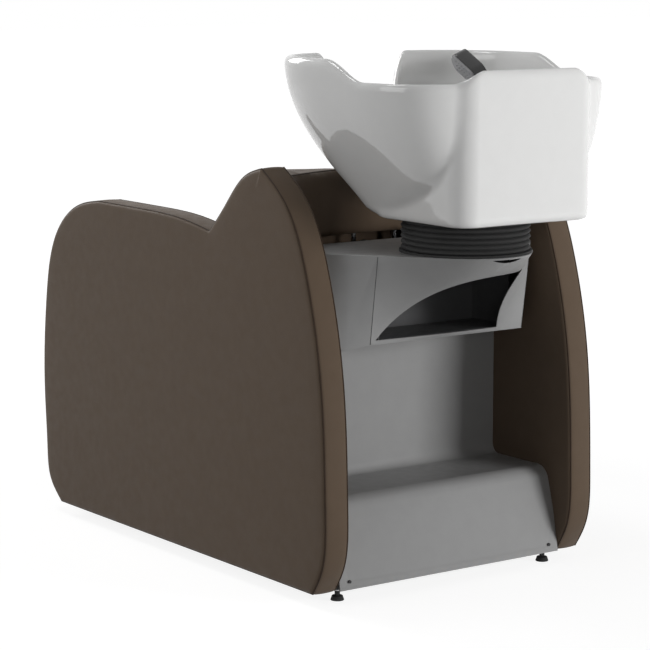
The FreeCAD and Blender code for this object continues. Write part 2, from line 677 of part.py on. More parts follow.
def basin_arm():
    """Cantilever arm from the uprights to the pivot, with two ears for the pins."""
    pieces = []
    for sign in (-1, 1):
        x0 = min(sign * ARM_X, sign * (ARM_X + TUBE))
        pieces.append(box(x0, x0 + TUBE, POST_Y, ARM_END_Y, ARM_BOTTOM_Z, ARM_TOP_Z))
        e0 = min(sign * EAR_X, sign * ARM_X)
        ear = box(e0, e0 + EAR_THICK, PIVOT_Y - EAR_RADIUS, PIVOT_Y + EAR_RADIUS, ARM_BOTTOM_Z, TILT_Z)
        ear = ear.fuse(rod(EAR_RADIUS, V(e0, PIVOT_Y, TILT_Z), V(e0 + EAR_THICK, PIVOT_Y, TILT_Z)))
        pieces.append(ear)
    pieces.append(box(-ARM_X, ARM_X, ARM_END_Y - LUG_THICK, ARM_END_Y, ARM_BOTTOM_Z, ARM_TOP_Z))
    solid = pieces[0].fuse(pieces[1:]).removeSplitter()
    end = ARM_X + OVERCUT
    return solid.cut(rod(PIN_RADIUS + SHAFT_PLAY, V(-end, PIVOT_Y, TILT_Z), V(end, PIVOT_Y, TILT_Z)))


LUG_X = ARM_X + FIT_GAP


def tilt_pins():
    """Two stub pins in the ears."""
    end = LUG_X + LUG_THICK
    left = rod(PIN_RADIUS, V(EAR_X, PIVOT_Y, TILT_Z), V(end, PIVOT_Y, TILT_Z))
    return Part.makeCompound([left, mirrored(left)])


def basin_cradle():
    """Plate let into the basin's foot, with two lugs on the pins and a hole for the waste."""
    z = FOOT_Z
    plate = box(-CRADLE_X, CRADLE_X, PIVOT_Y - CRADLE_Y, PIVOT_Y + CRADLE_Y, z, z + CRADLE_THICK)
    lug = box(LUG_X, LUG_X + LUG_THICK, PIVOT_Y - EAR_RADIUS, PIVOT_Y + EAR_RADIUS, TILT_Z, z)
    lug = lug.fuse(rod(EAR_RADIUS, V(LUG_X, PIVOT_Y, TILT_Z), V(LUG_X + LUG_THICK, PIVOT_Y, TILT_Z)))
    lug = lug.cut(rod(PIN_RADIUS + SHAFT_PLAY, V(LUG_X - OVERCUT, PIVOT_Y, TILT_Z),
                      V(LUG_X + LUG_THICK + OVERCUT, PIVOT_Y, TILT_Z)))
    solid = plate.fuse([lug, mirrored(lug)]).removeSplitter()
    return solid.cut(rod(WASTE_RADIUS + FIT_GAP, V(0, PIVOT_Y, z - OVERCUT),
                         V(0, PIVOT_Y, z + CRADLE_THICK + OVERCUT)))


BOWL_FRONT_Y = BASIN_REAR_Y - BOWL_LENGTH
BOWL_BACK_Y = BASIN_REAR_Y - BOWL_BACK
BOX_FRONT_Y = PIVOT_Y - BOX_FRONT
ABOVE_Z = RIM_HEIGHT + 2 * BASIN_WALL


def bowl_section(z, wall):
    """Level outline of the bowl: a squared ellipse that swells from the foot to the rim."""
    fall = 1 - min((z - FOOT_Z) / BASIN_HEIGHT, 1.0)
    swell = 1 - fall ** 2
    half = BOWL_FOOT_HALF + (BOWL_HALF_WIDTH - BOWL_FOOT_HALF) * swell - wall
    foot_front = PIVOT_Y - BOWL_FOOT_LEAD
    front = foot_front - (foot_front - BOWL_FRONT_Y) * swell + wall
    back = BOWL_BACK_Y - BOWL_TUCK * fall ** 7 - wall
    middle = (front + back) / 2
    depth = (back - front) / 2
    points = []
    for step in range(32):
        angle = 2 * math.pi * step / 32
        c = math.cos(angle)
        s = math.sin(angle)
        power = BOWL_POWER if s < 0 else BOWL_REAR_POWER
        x = half * math.copysign(abs(c) ** (2 / power), c)
        y = depth * math.copysign(abs(s) ** (2 / power), s)
        points.append(V(x, middle + y, z))
    curve = Part.BSplineCurve()
    curve.interpolate(points, PeriodicFlag=True)
    return Part.Wire(curve.toShape())


def bowl_form(wall, low, high):
    """The bowl as a smooth loft of its level outlines."""
    levels = [low + (high - low) * part for part in (0, 0.05, 0.1, 0.17, 0.26, 0.38, 0.55, 0.75, 1.0)]
    return Part.makeLoft([bowl_section(z, wall) for z in levels], True, False)


def rim_cutter():
    """Everything above the rim: level horns, a dip on both sides and the rear rim."""
    high = RIM_HEIGHT
    dip = high - SIDE_DIP
    rear = high - REAR_DROP
    y0 = BOWL_FRONT_Y - BASIN_WALL
    y1 = BASIN_REAR_Y + BASIN_WALL
    top = high + NECK_DEPTH
    fall_start = PIVOT_Y - DIP_START
    fall_end = PIVOT_Y + BASIN_WALL
    rise_start = PIVOT_Y + DIP_END
    rise_end = BASIN_REAR_Y - BASIN_WALL / 2
    fall_middle = V(0, (fall_start + fall_end) / 2, (high + dip) / 2)
    rise_middle = V(0, (rise_start + rise_end) / 2, (dip + rear) / 2)
    fall = spline([V(0, fall_start, high), fall_middle, V(0, fall_end, dip)])
    rise = spline([V(0, rise_start, dip), rise_middle, V(0, rise_end, rear)])
    edges = [Part.makeLine(V(0, y0, high), V(0, fall_start, high)), fall,
             Part.makeLine(V(0, fall_end, dip), V(0, rise_start, dip)), rise,
             Part.makeLine(V(0, rise_end, rear), V(0, y1, rear)),
             Part.makeLine(V(0, y1, rear), V(0, y1, top)), Part.makeLine(V(0, y1, top), V(0, y0, top)),
             Part.makeLine(V(0, y0, top), V(0, y0, high))]
    half = BOWL_HALF_WIDTH + BASIN_WALL
    return prism_x(Part.Wire(edges), -half, half)


def neck_cutter():
    """Scoop in the front rim for the client's neck."""
    low = RIM_HEIGHT - NECK_DEPTH
    solid = box(-NECK_HALF_WIDTH, NECK_HALF_WIDTH, BOWL_FRONT_Y - BASIN_WALL, BOWL_FRONT_Y + NECK_DEPTH, low,
                RIM_HEIGHT + NECK_DEPTH)
    edges = []
    for edge in solid.Edges:
        if abs(edge.BoundBox.ZMax - low) < FIT_GAP and edge.BoundBox.YLength > BASIN_WALL:
            edges.append(edge)
    return solid.makeFillet(NECK_ROUND, edges)


def basin():
    """White ceramic basin: bowl, squared rear box, tap ledge, neck scoop and waste hole."""
    inside = BOX_HALF_WIDTH - BASIN_WALL
    back = BASIN_REAR_Y - BASIN_WALL
    shelf_y = BASIN_REAR_Y - LEDGE_DEPTH
    block = Part.Face(rounded(-BOX_HALF_WIDTH, BOX_HALF_WIDTH, BOX_FRONT_Y, BASIN_REAR_Y, FOOT_Z, BOX_ROUND))
    solid = bowl_form(0, FOOT_Z, ABOVE_Z).fuse(block.extrude(V(0, 0, ABOVE_Z - FOOT_Z)))
    front_room = box(-BOWL_HALF_WIDTH, BOWL_HALF_WIDTH, BOWL_FRONT_Y, shelf_y, FOOT_Z, ABOVE_Z + BASIN_WALL)
    solid = solid.cut(bowl_form(BASIN_WALL, BOWL_FLOOR_Z, ABOVE_Z + BASIN_WALL).common(front_room))
    shelf_front = shelf_y - 2 * BASIN_WALL
    shelf = Part.Face(rounded(-inside, inside, shelf_front, back, LEDGE_Z, BOX_ROUND - BASIN_WALL))
    solid = solid.cut(shelf.extrude(V(0, 0, ABOVE_Z)))
    solid = solid.cut(rim_cutter()).cut(neck_cutter())
    solid = solid.cut(rod(DRAIN_RADIUS, V(0, PIVOT_Y, FOOT_Z - OVERCUT), V(0, PIVOT_Y, LEDGE_Z)))
    px = CRADLE_X + FIT_GAP
    py = CRADLE_Y + FIT_GAP
    pocket = box(-px, px, PIVOT_Y - py, PIVOT_Y + py, FOOT_Z - OVERCUT, FOOT_Z + CRADLE_THICK)
    hollow = box(-inside, inside, shelf_y + BASIN_WALL, back, FOOT_Z - OVERCUT, LEDGE_Z - BASIN_WALL)
    return solid.cut(pocket).cut(hollow)


def waste_strainer():
    """Perforated cover over the waste."""
    z = BOWL_FLOOR_Z + SHAFT_PLAY
    disc = Part.makeCone(DRAIN_RADIUS + PIN_RADIUS, DRAIN_RADIUS + RING_HEIGHT, RING_HEIGHT, V(0, PIVOT_Y, z))
    for step in range(8):
        angle = 2 * math.pi * step / 8
        x = DRAIN_RADIUS * 0.62 * math.cos(angle)
        y = PIVOT_Y + DRAIN_RADIUS * 0.62 * math.sin(angle)
        disc = disc.cut(rod(DRAIN_RADIUS * 0.15, V(x, y, z - OVERCUT), V(x, y, z + RING_HEIGHT + OVERCUT)))
    return disc


TAIL_END_Z = CONSOLE_TOP_Z + RING_HEIGHT


def waste_tail():
    """Tail pipe under the waste, down through the cradle."""
    tube = rod(WASTE_RADIUS, V(0, PIVOT_Y, TAIL_END_Z), V(0, PIVOT_Y, BOWL_FLOOR_Z))
    return tube.cut(rod(WASTE_RADIUS - WASTE_WALL, V(0, PIVOT_Y, TAIL_END_Z - OVERCUT),
                        V(0, PIVOT_Y, BOWL_FLOOR_Z + OVERCUT)))


PIPE_RADIUS = TUBE / 2 - SPIGOT_STEP
PIPE_Z = (ARM_BOTTOM_Z + ARM_TOP_Z) / 2 + FIT_GAP
PIPE_Y = POST_Y - 0.8 * TUBE
SPIGOT_TOP_Z = FLOOR_GAP + SPIGOT_LENGTH


def waste_pipe():
    """Catch cup under the tail pipe, and the pipe from it to a spigot at the floor."""
    cup = rod(CUP_RADIUS, V(0, PIVOT_Y, ARM_BOTTOM_Z), V(0, PIVOT_Y, ARM_TOP_Z))
    run = rod(PIPE_RADIUS, V(0, PIPE_Y, PIPE_Z), V(0, PIVOT_Y, PIPE_Z))
    drop = rod(PIPE_RADIUS, V(0, PIPE_Y, SPIGOT_TOP_Z), V(0, PIPE_Y, PIPE_Z))
    spigot = rod(PIPE_RADIUS - SPIGOT_STEP, V(0, PIPE_Y, FLOOR_GAP), V(0, PIPE_Y, SPIGOT_TOP_Z))
    bend = Part.makeSphere(PIPE_RADIUS, V(0, PIPE_Y, PIPE_Z))
    solid = cup.fuse([run, drop, spigot, bend]).removeSplitter()
    bore = PIPE_RADIUS - SPIGOT_STEP - WASTE_WALL
    hollow = rod(CUP_RADIUS - WASTE_WALL, V(0, PIVOT_Y, ARM_BOTTOM_Z + WASTE_WALL),
                 V(0, PIVOT_Y, ARM_TOP_Z + OVERCUT))
    hollow = hollow.fuse([rod(bore, V(0, PIPE_Y, PIPE_Z), V(0, PIVOT_Y, PIPE_Z)),
                          rod(bore, V(0, PIPE_Y, FLOOR_GAP - OVERCUT), V(0, PIPE_Y, PIPE_Z)),
                          Part.makeSphere(bore, V(0, PIPE_Y, PIPE_Z))])
    return solid.cut(hollow)


def inlet_bracket():
    """Plate on the chassis that holds the water inlets round the waste pipe."""
    half = INLET_X + TUBE
    plate = box(-half, half, PIPE_Y - 0.8 * TUBE, POST_Y + TUBE, RAIL_TOP, RAIL_TOP + BRACKET_THICK)
    for x, radius in ((-INLET_X, INLET_NECK), (0, PIPE_RADIUS), (INLET_X, INLET_NECK)):
        plate = plate.cut(rod(radius + FIT_GAP, V(x, PIPE_Y, RAIL_TOP - OVERCUT),
                              V(x, PIPE_Y, RAIL_TOP + BRACKET_THICK + OVERCUT)))
    return plate


def water_inlet(x):
    """Nipple for a supply hose, held up against the bracket by its collar."""
    low = FLOOR_GAP + COVER_WALL
    step = RAIL_TOP - PIN_RADIUS
    high = RAIL_TOP + 6 * BRACKET_THICK
    stub = rod(INLET_RADIUS, V(x, PIPE_Y, low), V(x, PIPE_Y, step))
    collar = rod(INLET_COLLAR, V(x, PIPE_Y, step), V(x, PIPE_Y, RAIL_TOP))
    neck = rod(INLET_NECK, V(x, PIPE_Y, RAIL_TOP), V(x, PIPE_Y, high))
    solid = stub.fuse([collar, neck]).removeSplitter()
    return solid.cut(rod(INLET_BORE, V(x, PIPE_Y, low - OVERCUT), V(x, PIPE_Y, high + OVERCUT)))


def power_inlet():
    """Control box with a gland for the mains lead."""
    inner = POST_X + TUBE / 2 + FIT_GAP
    outer = inner + 1.2 * TUBE
    front = POST_Y - 1.3 * TUBE
    case = box(-outer, -inner, front, POST_Y + TUBE, RAIL_TOP, RAIL_TOP + 2.3 * TUBE)
    spot = V(-(inner + outer) / 2, front, RAIL_TOP + 0.7 * TUBE)
    gland = rod(INLET_NECK, spot - V(0, EAR_THICK, 0), spot)
    return case.fuse(gland).removeSplitter()


HANDLE_AXIS = V(0, -math.cos(math.radians(HANDSET_TILT)), math.sin(math.radians(HANDSET_TILT)))
HOLDER_FOOT = V(0, BASIN_REAR_Y - HOLDER_INSET, LEDGE_Z + HOLDER_POST)


def handset_holder():
    """Angled socket on the tap ledge."""
    post = rod(HANDLE_RADIUS + PIN_RADIUS, V(0, HOLDER_FOOT.y, LEDGE_Z), HOLDER_FOOT)
    socket = rod(HANDLE_RADIUS + SEAM_ROUND, HOLDER_FOOT, HOLDER_FOOT + HANDLE_AXIS * HOLDER_HEIGHT)
    solid = post.fuse(socket).removeSplitter()
    bore = rod(HANDLE_RADIUS + FIT_GAP, HOLDER_FOOT + HANDLE_AXIS * SEAM_ROUND,
               HOLDER_FOOT + HANDLE_AXIS * (2 * HOLDER_HEIGHT))
    return solid.cut(bore)


HANDSET_FOOT = HOLDER_FOOT + HANDLE_AXIS * SEAM_ROUND
HEAD_MIDDLE = HANDSET_FOOT + HANDLE_AXIS * (HANDLE_LENGTH + HEAD_RADIUS)
SPRAY_DOWN = V(0, -HANDLE_AXIS.z, HANDLE_AXIS.y)
SPRAY_AXIS = SPRAY_DOWN * math.cos(math.radians(HANDSET_ROLL)) + V(math.sin(math.radians(HANDSET_ROLL)), 0, 0)
HEAD_ACROSS = HANDLE_AXIS.cross(SPRAY_AXIS)


def head_slab(radius, offset, thick):
    """Flat bar with round ends, square to the spray and offset along it."""
    tip = HEAD_MIDDLE + SPRAY_AXIS * offset
    root = tip - HANDLE_AXIS * HEAD_REACH
    side = HEAD_ACROSS * radius
    bar = Part.Face(polygon([tip + side, tip - side, root - side, root + side])).extrude(SPRAY_AXIS * thick)
    ends = [Part.makeCylinder(radius, thick, end, SPRAY_AXIS) for end in (tip, root)]
    return bar.fuse(ends).removeSplitter()


def handset_shell():
    """Handle and flat head of the hand shower."""
    handle = Part.makeCone(HANDLE_RADIUS, HEAD_HEIGHT * 0.4, HANDLE_LENGTH, HANDSET_FOOT, HANDLE_AXIS)
    return handle.fuse(head_slab(HEAD_RADIUS, -HEAD_HEIGHT / 2, HEAD_HEIGHT)).removeSplitter()


def handset_face():
    """Spray plate with rows of nozzles."""
    thick = LINER_WALL
    face = HEAD_HEIGHT / 2
    plate = head_slab(HEAD_RADIUS - thick, face, thick)
    nozzles = []
    for row in (-1, 0, 1):
        for step in range(6):
            spot = HEAD_MIDDLE - HANDLE_AXIS * (HEAD_REACH * step / 5) + HEAD_ACROSS * (HEAD_RADIUS * row / 2)
            start = spot + SPRAY_AXIS * (face + thick)
            nozzles.append(Part.makeCylinder(thick * 0.4, thick * 0.5, start, SPRAY_AXIS))
    return plate.fuse(nozzles).removeSplitter()


MIXER_Y = BASIN_REAR_Y - MIXER_INSET
MIXER_TOP = LEDGE_Z + MIXER_HEIGHT


def mixer_body():
    """Fixed body of the mixer tap."""
    return rod(MIXER_RADIUS, V(MIXER_X, MIXER_Y, LEDGE_Z), V(MIXER_X, MIXER_Y, MIXER_TOP))


def mixer_cap():
    """Turning cap of the mixer tap."""
    z = MIXER_TOP + FIT_GAP
    return rod(MIXER_RADIUS, V(MIXER_X, MIXER_Y, z), V(MIXER_X, MIXER_Y, z + CAP_HEIGHT))


def mixer_lever():
    """Lever with a round hinge barrel on top of the cap."""
    half = SEAM_ROUND
    axis_z = MIXER_TOP + CAP_HEIGHT + 2 * FIT_GAP + LEVER_RADIUS
    axis_y = MIXER_Y + LEVER_RADIUS
    barrel = rod(LEVER_RADIUS, V(MIXER_X - half, axis_y, axis_z), V(MIXER_X + half, axis_y, axis_z))
    blade = box(MIXER_X - half, MIXER_X + half, MIXER_Y - LEVER_LENGTH, axis_y, axis_z - LEVER_RADIUS / 2,
                axis_z + LEVER_RADIUS)
    return barrel.fuse(blade).removeSplitter()


def massage_rails():
    """Two guide rods in the window of the back board."""
    z0 = massage_bottom()
    z1 = massage_top()
    rail = rod(RAIL_RADIUS, V(RAIL_X, MASSAGE_Y, z0), V(RAIL_X, MASSAGE_Y, z1))
    return Part.makeCompound([rail, mirrored(rail)])


SCREW_FOOT_Z = massage_bottom() + MOTOR_HEIGHT


def massage_motor():
    """Gear motor at the foot of the screw."""
    half = GEAR_DEPTH / 2
    return box(-ROLLER_WIDTH, ROLLER_WIDTH, MASSAGE_Y - half, MASSAGE_Y + half, massage_bottom(),
               SCREW_FOOT_Z - FIT_GAP)


def massage_screw():
    """Lead screw of the massage carriage."""
    return rod(SCREW_SHAFT_RADIUS, V(0, MASSAGE_Y, SCREW_FOOT_Z), V(0, MASSAGE_Y, massage_top() - FIT_GAP))


ROLLER_Y = MASSAGE_Y - GEAR_DEPTH / 2 - ROLLER_RADIUS - OVERCUT


def massage_carriage():
    """Carriage on the rods and the screw, with a bracket for the kneading rollers."""
    z0 = MASSAGE_MID_Z - CARRIAGE_HEIGHT / 2
    z1 = MASSAGE_MID_Z + CARRIAGE_HEIGHT / 2
    face = MASSAGE_Y - GEAR_DEPTH / 2
    half = RAIL_X + GEAR_DEPTH
    solid = box(-half, half, face, face + GEAR_DEPTH, z0, z1)
    for x, radius in ((-RAIL_X, RAIL_RADIUS + SHAFT_PLAY), (0, SCREW_SHAFT_RADIUS + FIT_GAP),
                      (RAIL_X, RAIL_RADIUS + SHAFT_PLAY)):
        solid = solid.cut(rod(radius, V(x, MASSAGE_Y, z0 - OVERCUT), V(x, MASSAGE_Y, z1 + OVERCUT)))
    thick = 2 * ROLLER_SHAFT
    for x in (-2 * thick, thick):
        solid = solid.fuse(box(x, x + thick, ROLLER_Y - thick, face, MASSAGE_MID_Z - thick,
                               MASSAGE_MID_Z + thick))
    end = ROLLER_X - ROLLER_WIDTH / 2
    hole = rod(ROLLER_SHAFT + SHAFT_PLAY, V(-end, ROLLER_Y, MASSAGE_MID_Z), V(end, ROLLER_Y, MASSAGE_MID_Z))
    return solid.cut(hole).removeSplitter()


def massage_rollers():
    """Two kneading rollers on one shaft."""
    shaft = rod(ROLLER_SHAFT, V(-ROLLER_X, ROLLER_Y, MASSAGE_MID_Z), V(ROLLER_X, ROLLER_Y, MASSAGE_MID_Z))
    rollers = []
    for x in (-ROLLER_X, ROLLER_X):
        rollers.append(rod(ROLLER_RADIUS, V(x - ROLLER_WIDTH / 2, ROLLER_Y, MASSAGE_MID_Z),
                           V(x + ROLLER_WIDTH / 2, ROLLER_Y, MASSAGE_MID_Z)))
    return shaft.fuse(rollers).removeSplitter()


def button_spots():
    """Positions of the keypad buttons along the armrest."""
    return {"up": KEYPAD_Y - BUTTON_PITCH, "power": KEYPAD_Y, "down": KEYPAD_Y + BUTTON_PITCH}


def keypad_housing():
    """Keypad on the inner face of the right armrest."""
    solid = box(-INNER_X, -INNER_X + KEYPAD_DEPTH, KEYPAD_Y - KEYPAD_LENGTH / 2, KEYPAD_Y + KEYPAD_LENGTH / 2,
                KEYPAD_Z - KEYPAD_HEIGHT / 2, KEYPAD_Z + KEYPAD_HEIGHT / 2)
    for y in button_spots().values():
        solid = solid.cut(rod(BUTTON_RADIUS + FIT_GAP, V(-INNER_X + KEYPAD_BACK, y, KEYPAD_Z),
                              V(-INNER_X + 2 * KEYPAD_DEPTH, y, KEYPAD_Z)))
    return solid


def button(y):
    """One round push button."""
    return rod(BUTTON_RADIUS, V(-INNER_X + KEYPAD_BACK + BUTTON_TRAVEL + FIT_GAP, y, KEYPAD_Z),
               V(-INNER_X + KEYPAD_DEPTH + KEYPAD_BACK, y, KEYPAD_Z))


def main():
    """Write every piece."""
    os.makedirs("parts", exist_ok=True)
    board = side_board()
    pad = side_pad()
    save("side_board_left", board)
    save("side_board_right", mirrored(board))
    save("side_pad_left", pad)
    save("side_pad_right", mirrored(pad))
    save("base_frame", base_frame())
    save("lock_nuts", lock_nuts())
    for name, (x, y) in foot_spots().items():
        save("foot_" + name, foot(x, y))
    save("seat_board", seat_board())
    save("seat_cushion", seat_cushion())
    save("front_apron", front_apron())
    save("back_board", back_board())
    save("back_cushion", back_cushion())
    save("back_rear_pad", back_rear_pad())
    save("rear_cover", rear_cover())
    save("cover_screws", cover_screws())
    save("console", console())
    save("pocket_liner", pocket_liner())
    save("bellows_ring", bellows_ring())
    save("bellows", bellows())
    save("basin_arm", basin_arm())
    save("tilt_pins", tilt_pins())
    save("basin_cradle", basin_cradle())
    save("basin", basin())
    save("waste_strainer", waste_strainer())
    save("waste_tail", waste_tail())
    save("waste_pipe", waste_pipe())
    save("inlet_bracket", inlet_bracket())
    save("hot_inlet", water_inlet(INLET_X))
    save("cold_inlet", water_inlet(-INLET_X))
    save("power_inlet", power_inlet())
    save("handset_holder", handset_holder())
    save("handset_shell", handset_shell())
    save("handset_face", handset_face())
    save("mixer_body", mixer_body())
    save("mixer_cap", mixer_cap())
    save("mixer_lever", mixer_lever())
    save("massage_rails", massage_rails())
    save("massage_motor", massage_motor())
    save("massage_screw", massage_screw())
    save("massage_carriage", massage_carriage())
    save("massage_rollers", massage_rollers())
    save("keypad_housing", keypad_housing())
    for name, y in button_spots().items():
        save("button_" + name, button(y))


main()
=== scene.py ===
"""Looks of the massage shampoo unit: finishes, upholstery, ceramic basin, studio and camera.

Everything is in metres, in the same frame as the solids: +Z up, +Y towards the basin.
"""
import logging
import math
from dataclasses import dataclass, field
from enum import Enum
from typing import List, Sequence, Tuple

import bmesh
import bpy
import numpy as np
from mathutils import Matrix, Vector


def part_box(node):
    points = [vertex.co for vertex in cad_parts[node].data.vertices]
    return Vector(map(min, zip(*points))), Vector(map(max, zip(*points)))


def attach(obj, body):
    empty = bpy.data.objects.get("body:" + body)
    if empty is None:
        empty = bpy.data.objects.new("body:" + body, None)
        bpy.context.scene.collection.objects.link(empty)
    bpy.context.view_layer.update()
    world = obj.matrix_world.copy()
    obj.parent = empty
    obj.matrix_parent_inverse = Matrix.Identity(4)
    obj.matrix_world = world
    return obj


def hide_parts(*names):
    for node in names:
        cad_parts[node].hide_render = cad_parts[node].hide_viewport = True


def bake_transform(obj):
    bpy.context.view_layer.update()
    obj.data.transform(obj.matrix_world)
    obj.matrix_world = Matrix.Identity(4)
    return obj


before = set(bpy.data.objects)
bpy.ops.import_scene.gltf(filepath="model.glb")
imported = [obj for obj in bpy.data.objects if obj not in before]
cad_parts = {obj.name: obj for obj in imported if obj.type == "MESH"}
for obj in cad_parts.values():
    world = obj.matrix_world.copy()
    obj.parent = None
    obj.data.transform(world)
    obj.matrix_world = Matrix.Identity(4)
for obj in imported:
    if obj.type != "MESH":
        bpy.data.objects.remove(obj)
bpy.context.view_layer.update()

logging.basicConfig(level=logging.INFO, format="%(message)s")
LOG = logging.getLogger("scene")

Ring = List[Tuple[float, float, float]]
Point2 = Tuple[float, float]
MM = 0.001
COAT_ROUGHNESS = 0.04
BUMP_DEPTH = 0.0006
NOISE_LOW, NOISE_HIGH = 0.3, 0.7
TINT_SCALE, WOOD_TINT_SCALE = 34.0, 9.0
ROUGHNESS_SCALE = 55.0


class Skin(Enum):
    """Kinds of surface texture."""

    VINYL = "vinyl"
    MOULDED = "moulded"
    GLAZE = "glaze"
    RUBBER = "rubber"
    METAL = "metal"
    WOOD = "wood"


def linear(red: int, green: int, blue: int) -> Tuple[float, float, float, float]:
    """Turn a screen colour into a linear one.

    Args:
        red: Screen red, 0 to 255.
        green: Screen green, 0 to 255.
        blue: Screen blue, 0 to 255.

    Returns:
        Linear red, green, blue and an alpha of one.
    """
    parts = []
    for value in (red, green, blue):
        part = value / 255
        parts.append(part / 12.92 if part <= 0.04045 else ((part + 0.055) / 1.055) ** 2.4)
    return parts[0], parts[1], parts[2], 1.0


@dataclass(frozen=True)
class Finish:
    """One surface finish, made as a procedural material."""

    name: str
    colour: Tuple[float, float, float, float]
    skin: Skin
    roughness: float = 0.45
    metallic: float = 0.0
    grain: float = 900.0
    bump: float = 0.1
    vary: float = 0.06
    coat: float = 0.0
    shine: float = 0.5

    def material(self) -> bpy.types.Material:
        """Make the material, or return it if it is made already.

        Returns:
            The material.
        """
        known = bpy.data.materials.get(self.name)
        if known:
            return known
        made = bpy.data.materials.new(self.name)
        made.use_nodes = True
        tree = made.node_tree
        shader = tree.nodes["Principled BSDF"]
        shader.inputs["Metallic"].default_value = self.metallic
        shader.inputs["Coat Weight"].default_value = self.coat
        shader.inputs["Coat Roughness"].default_value = COAT_ROUGHNESS
        shader.inputs["Specular IOR Level"].default_value = self.shine
        where = tree.nodes.new("ShaderNodeTexCoord").outputs["Object"]
        self._colour(tree, shader, where)
        self._roughness(tree, shader, where)
        self._bump(tree, shader, where)
        return made

    def _noise(self, tree: bpy.types.NodeTree, where: bpy.types.NodeSocket, scale: float,
               detail: float = 4.0) -> bpy.types.NodeSocket:
        """Add a noise texture.

        Args:
            tree: Node tree of the material.
            where: Coordinates.
            scale: Cells per metre.
            detail: Octaves.

        Returns:
            The noise value socket.
        """
        noise = tree.nodes.new("ShaderNodeTexNoise")
        noise.inputs["Scale"].default_value = scale
        noise.inputs["Detail"].default_value = detail
        tree.links.new(where, noise.inputs["Vector"])
        return noise.outputs["Fac"]

    def _range(self, tree: bpy.types.NodeTree, value: bpy.types.NodeSocket, low: float,
               high: float) -> bpy.types.NodeSocket:
        """Map a noise value to a range.

        Args:
            tree: Node tree of the material.
            value: Value from about 0.3 to 0.7.
            low: Result at the low end.
            high: Result at the high end.

        Returns:
            The mapped value socket.
        """
        node = tree.nodes.new("ShaderNodeMapRange")
        node.inputs["From Min"].default_value = NOISE_LOW
        node.inputs["From Max"].default_value = NOISE_HIGH
        node.inputs["To Min"].default_value = low
        node.inputs["To Max"].default_value = high
        tree.links.new(value, node.inputs["Value"])
        return node.outputs["Result"]

    def _colour(self, tree: bpy.types.NodeTree, shader: bpy.types.Node, where: bpy.types.NodeSocket) -> None:
        """Tint the base colour with a broad, faint variation.

        Args:
            tree: Node tree of the material.
            shader: Its shader.
            where: Coordinates.
        """
        scale = WOOD_TINT_SCALE if self.skin is Skin.WOOD else TINT_SCALE
        value = self._range(tree, self._noise(tree, where, scale), 1 - self.vary, 1 + self.vary)
        tint = tree.nodes.new("ShaderNodeVectorMath")
        tint.operation = "SCALE"
        tint.inputs[0].default_value = self.colour[:3]
        tree.links.new(value, tint.inputs["Scale"])
        tree.links.new(tint.outputs["Vector"], shader.inputs["Base Color"])

    def _roughness(self, tree: bpy.types.NodeTree, shader: bpy.types.Node,
                   where: bpy.types.NodeSocket) -> None:
        """Vary the roughness a little over the surface.

        Args:
            tree: Node tree of the material.
            shader: Its shader.
            where: Coordinates.
        """
        spread = 0.02 if self.skin is Skin.GLAZE else 0.06
        low = max(self.roughness - spread, 0.02)
        value = self._range(tree, self._noise(tree, where, ROUGHNESS_SCALE), low, self.roughness + spread)
        tree.links.new(value, shader.inputs["Roughness"])

    def _bump(self, tree: bpy.types.NodeTree, shader: bpy.types.Node, where: bpy.types.NodeSocket) -> None:
        """Add the grain as bump.

        Args:
            tree: Node tree of the material.
            shader: Its shader.
            where: Coordinates.
        """
        bump = tree.nodes.new("ShaderNodeBump")
        bump.inputs["Strength"].default_value = self.bump
        bump.inputs["Distance"].default_value = BUMP_DEPTH
        if self.skin is Skin.VINYL:
            cells = tree.nodes.new("ShaderNodeTexVoronoi")
            cells.feature = "DISTANCE_TO_EDGE"
            cells.inputs["Scale"].default_value = self.grain
            tree.links.new(where, cells.inputs["Vector"])
            mixed = tree.nodes.new("ShaderNodeMath")
            mixed.operation = "ADD"
            tree.links.new(cells.outputs["Distance"], mixed.inputs[0])
            tree.links.new(self._noise(tree, where, self.grain * 0.4), mixed.inputs[1])
            height = mixed.outputs["Value"]
        elif self.skin is Skin.METAL:
            stretch = tree.nodes.new("ShaderNodeMapping")
            stretch.inputs["Scale"].default_value = (1.0, 1.0, 0.05)
            tree.links.new(where, stretch.inputs["Vector"])
            height = self._noise(tree, stretch.outputs["Vector"], self.grain)
        else:
            height = self._noise(tree, where, self.grain)
        tree.links.new(height, bump.inputs["Height"])
        tree.links.new(bump.outputs["Normal"], shader.inputs["Normal"])


VINYL = Finish("vinyl_brown", linear(96, 82, 69), Skin.VINYL, 0.5, grain=1100.0, bump=0.16, vary=0.03,
               shine=0.14)
PIPING = Finish("vinyl_seam", linear(62, 50, 41), Skin.VINYL, 0.5, grain=1500.0, bump=0.2, shine=0.14)
PLYWOOD = Finish("plywood", linear(190, 160, 120), Skin.WOOD, 0.6, grain=240.0, bump=0.2, vary=0.12)
FRAME_PAINT = Finish("frame_paint", linear(34, 34, 35), Skin.MOULDED, 0.42, grain=700.0, bump=0.08)
GREY_SHELL = Finish("shell_grey", linear(150, 150, 150), Skin.MOULDED, 0.38, grain=1600.0, bump=0.05,
                    vary=0.02, shine=0.3)
# Dark plastic of the screws, inlet, pipe, massage gear and keypad; the same colour also paints the shade
# lines down the console's corners.
DARK_SHELL_AND_SHADE = Finish("shell_dark_and_shade", linear(42, 42, 43), Skin.MOULDED, 0.5, grain=1200.0, bump=0.1)
# Darker grey than the shell: painted shade for the inside of the pocket.
POCKET_SHADE_GREY = Finish("pocket_shade_grey", linear(84, 84, 85), Skin.MOULDED, 0.45, grain=1400.0, bump=0.06)
KEY_GREY = Finish("key_grey", linear(150, 150, 153), Skin.MOULDED, 0.35, grain=1500.0, bump=0.05)
CERAMIC = Finish("ceramic_white", linear(236, 236, 235), Skin.GLAZE, 0.07, grain=60.0, bump=0.012, vary=0.008,
                 coat=0.25)
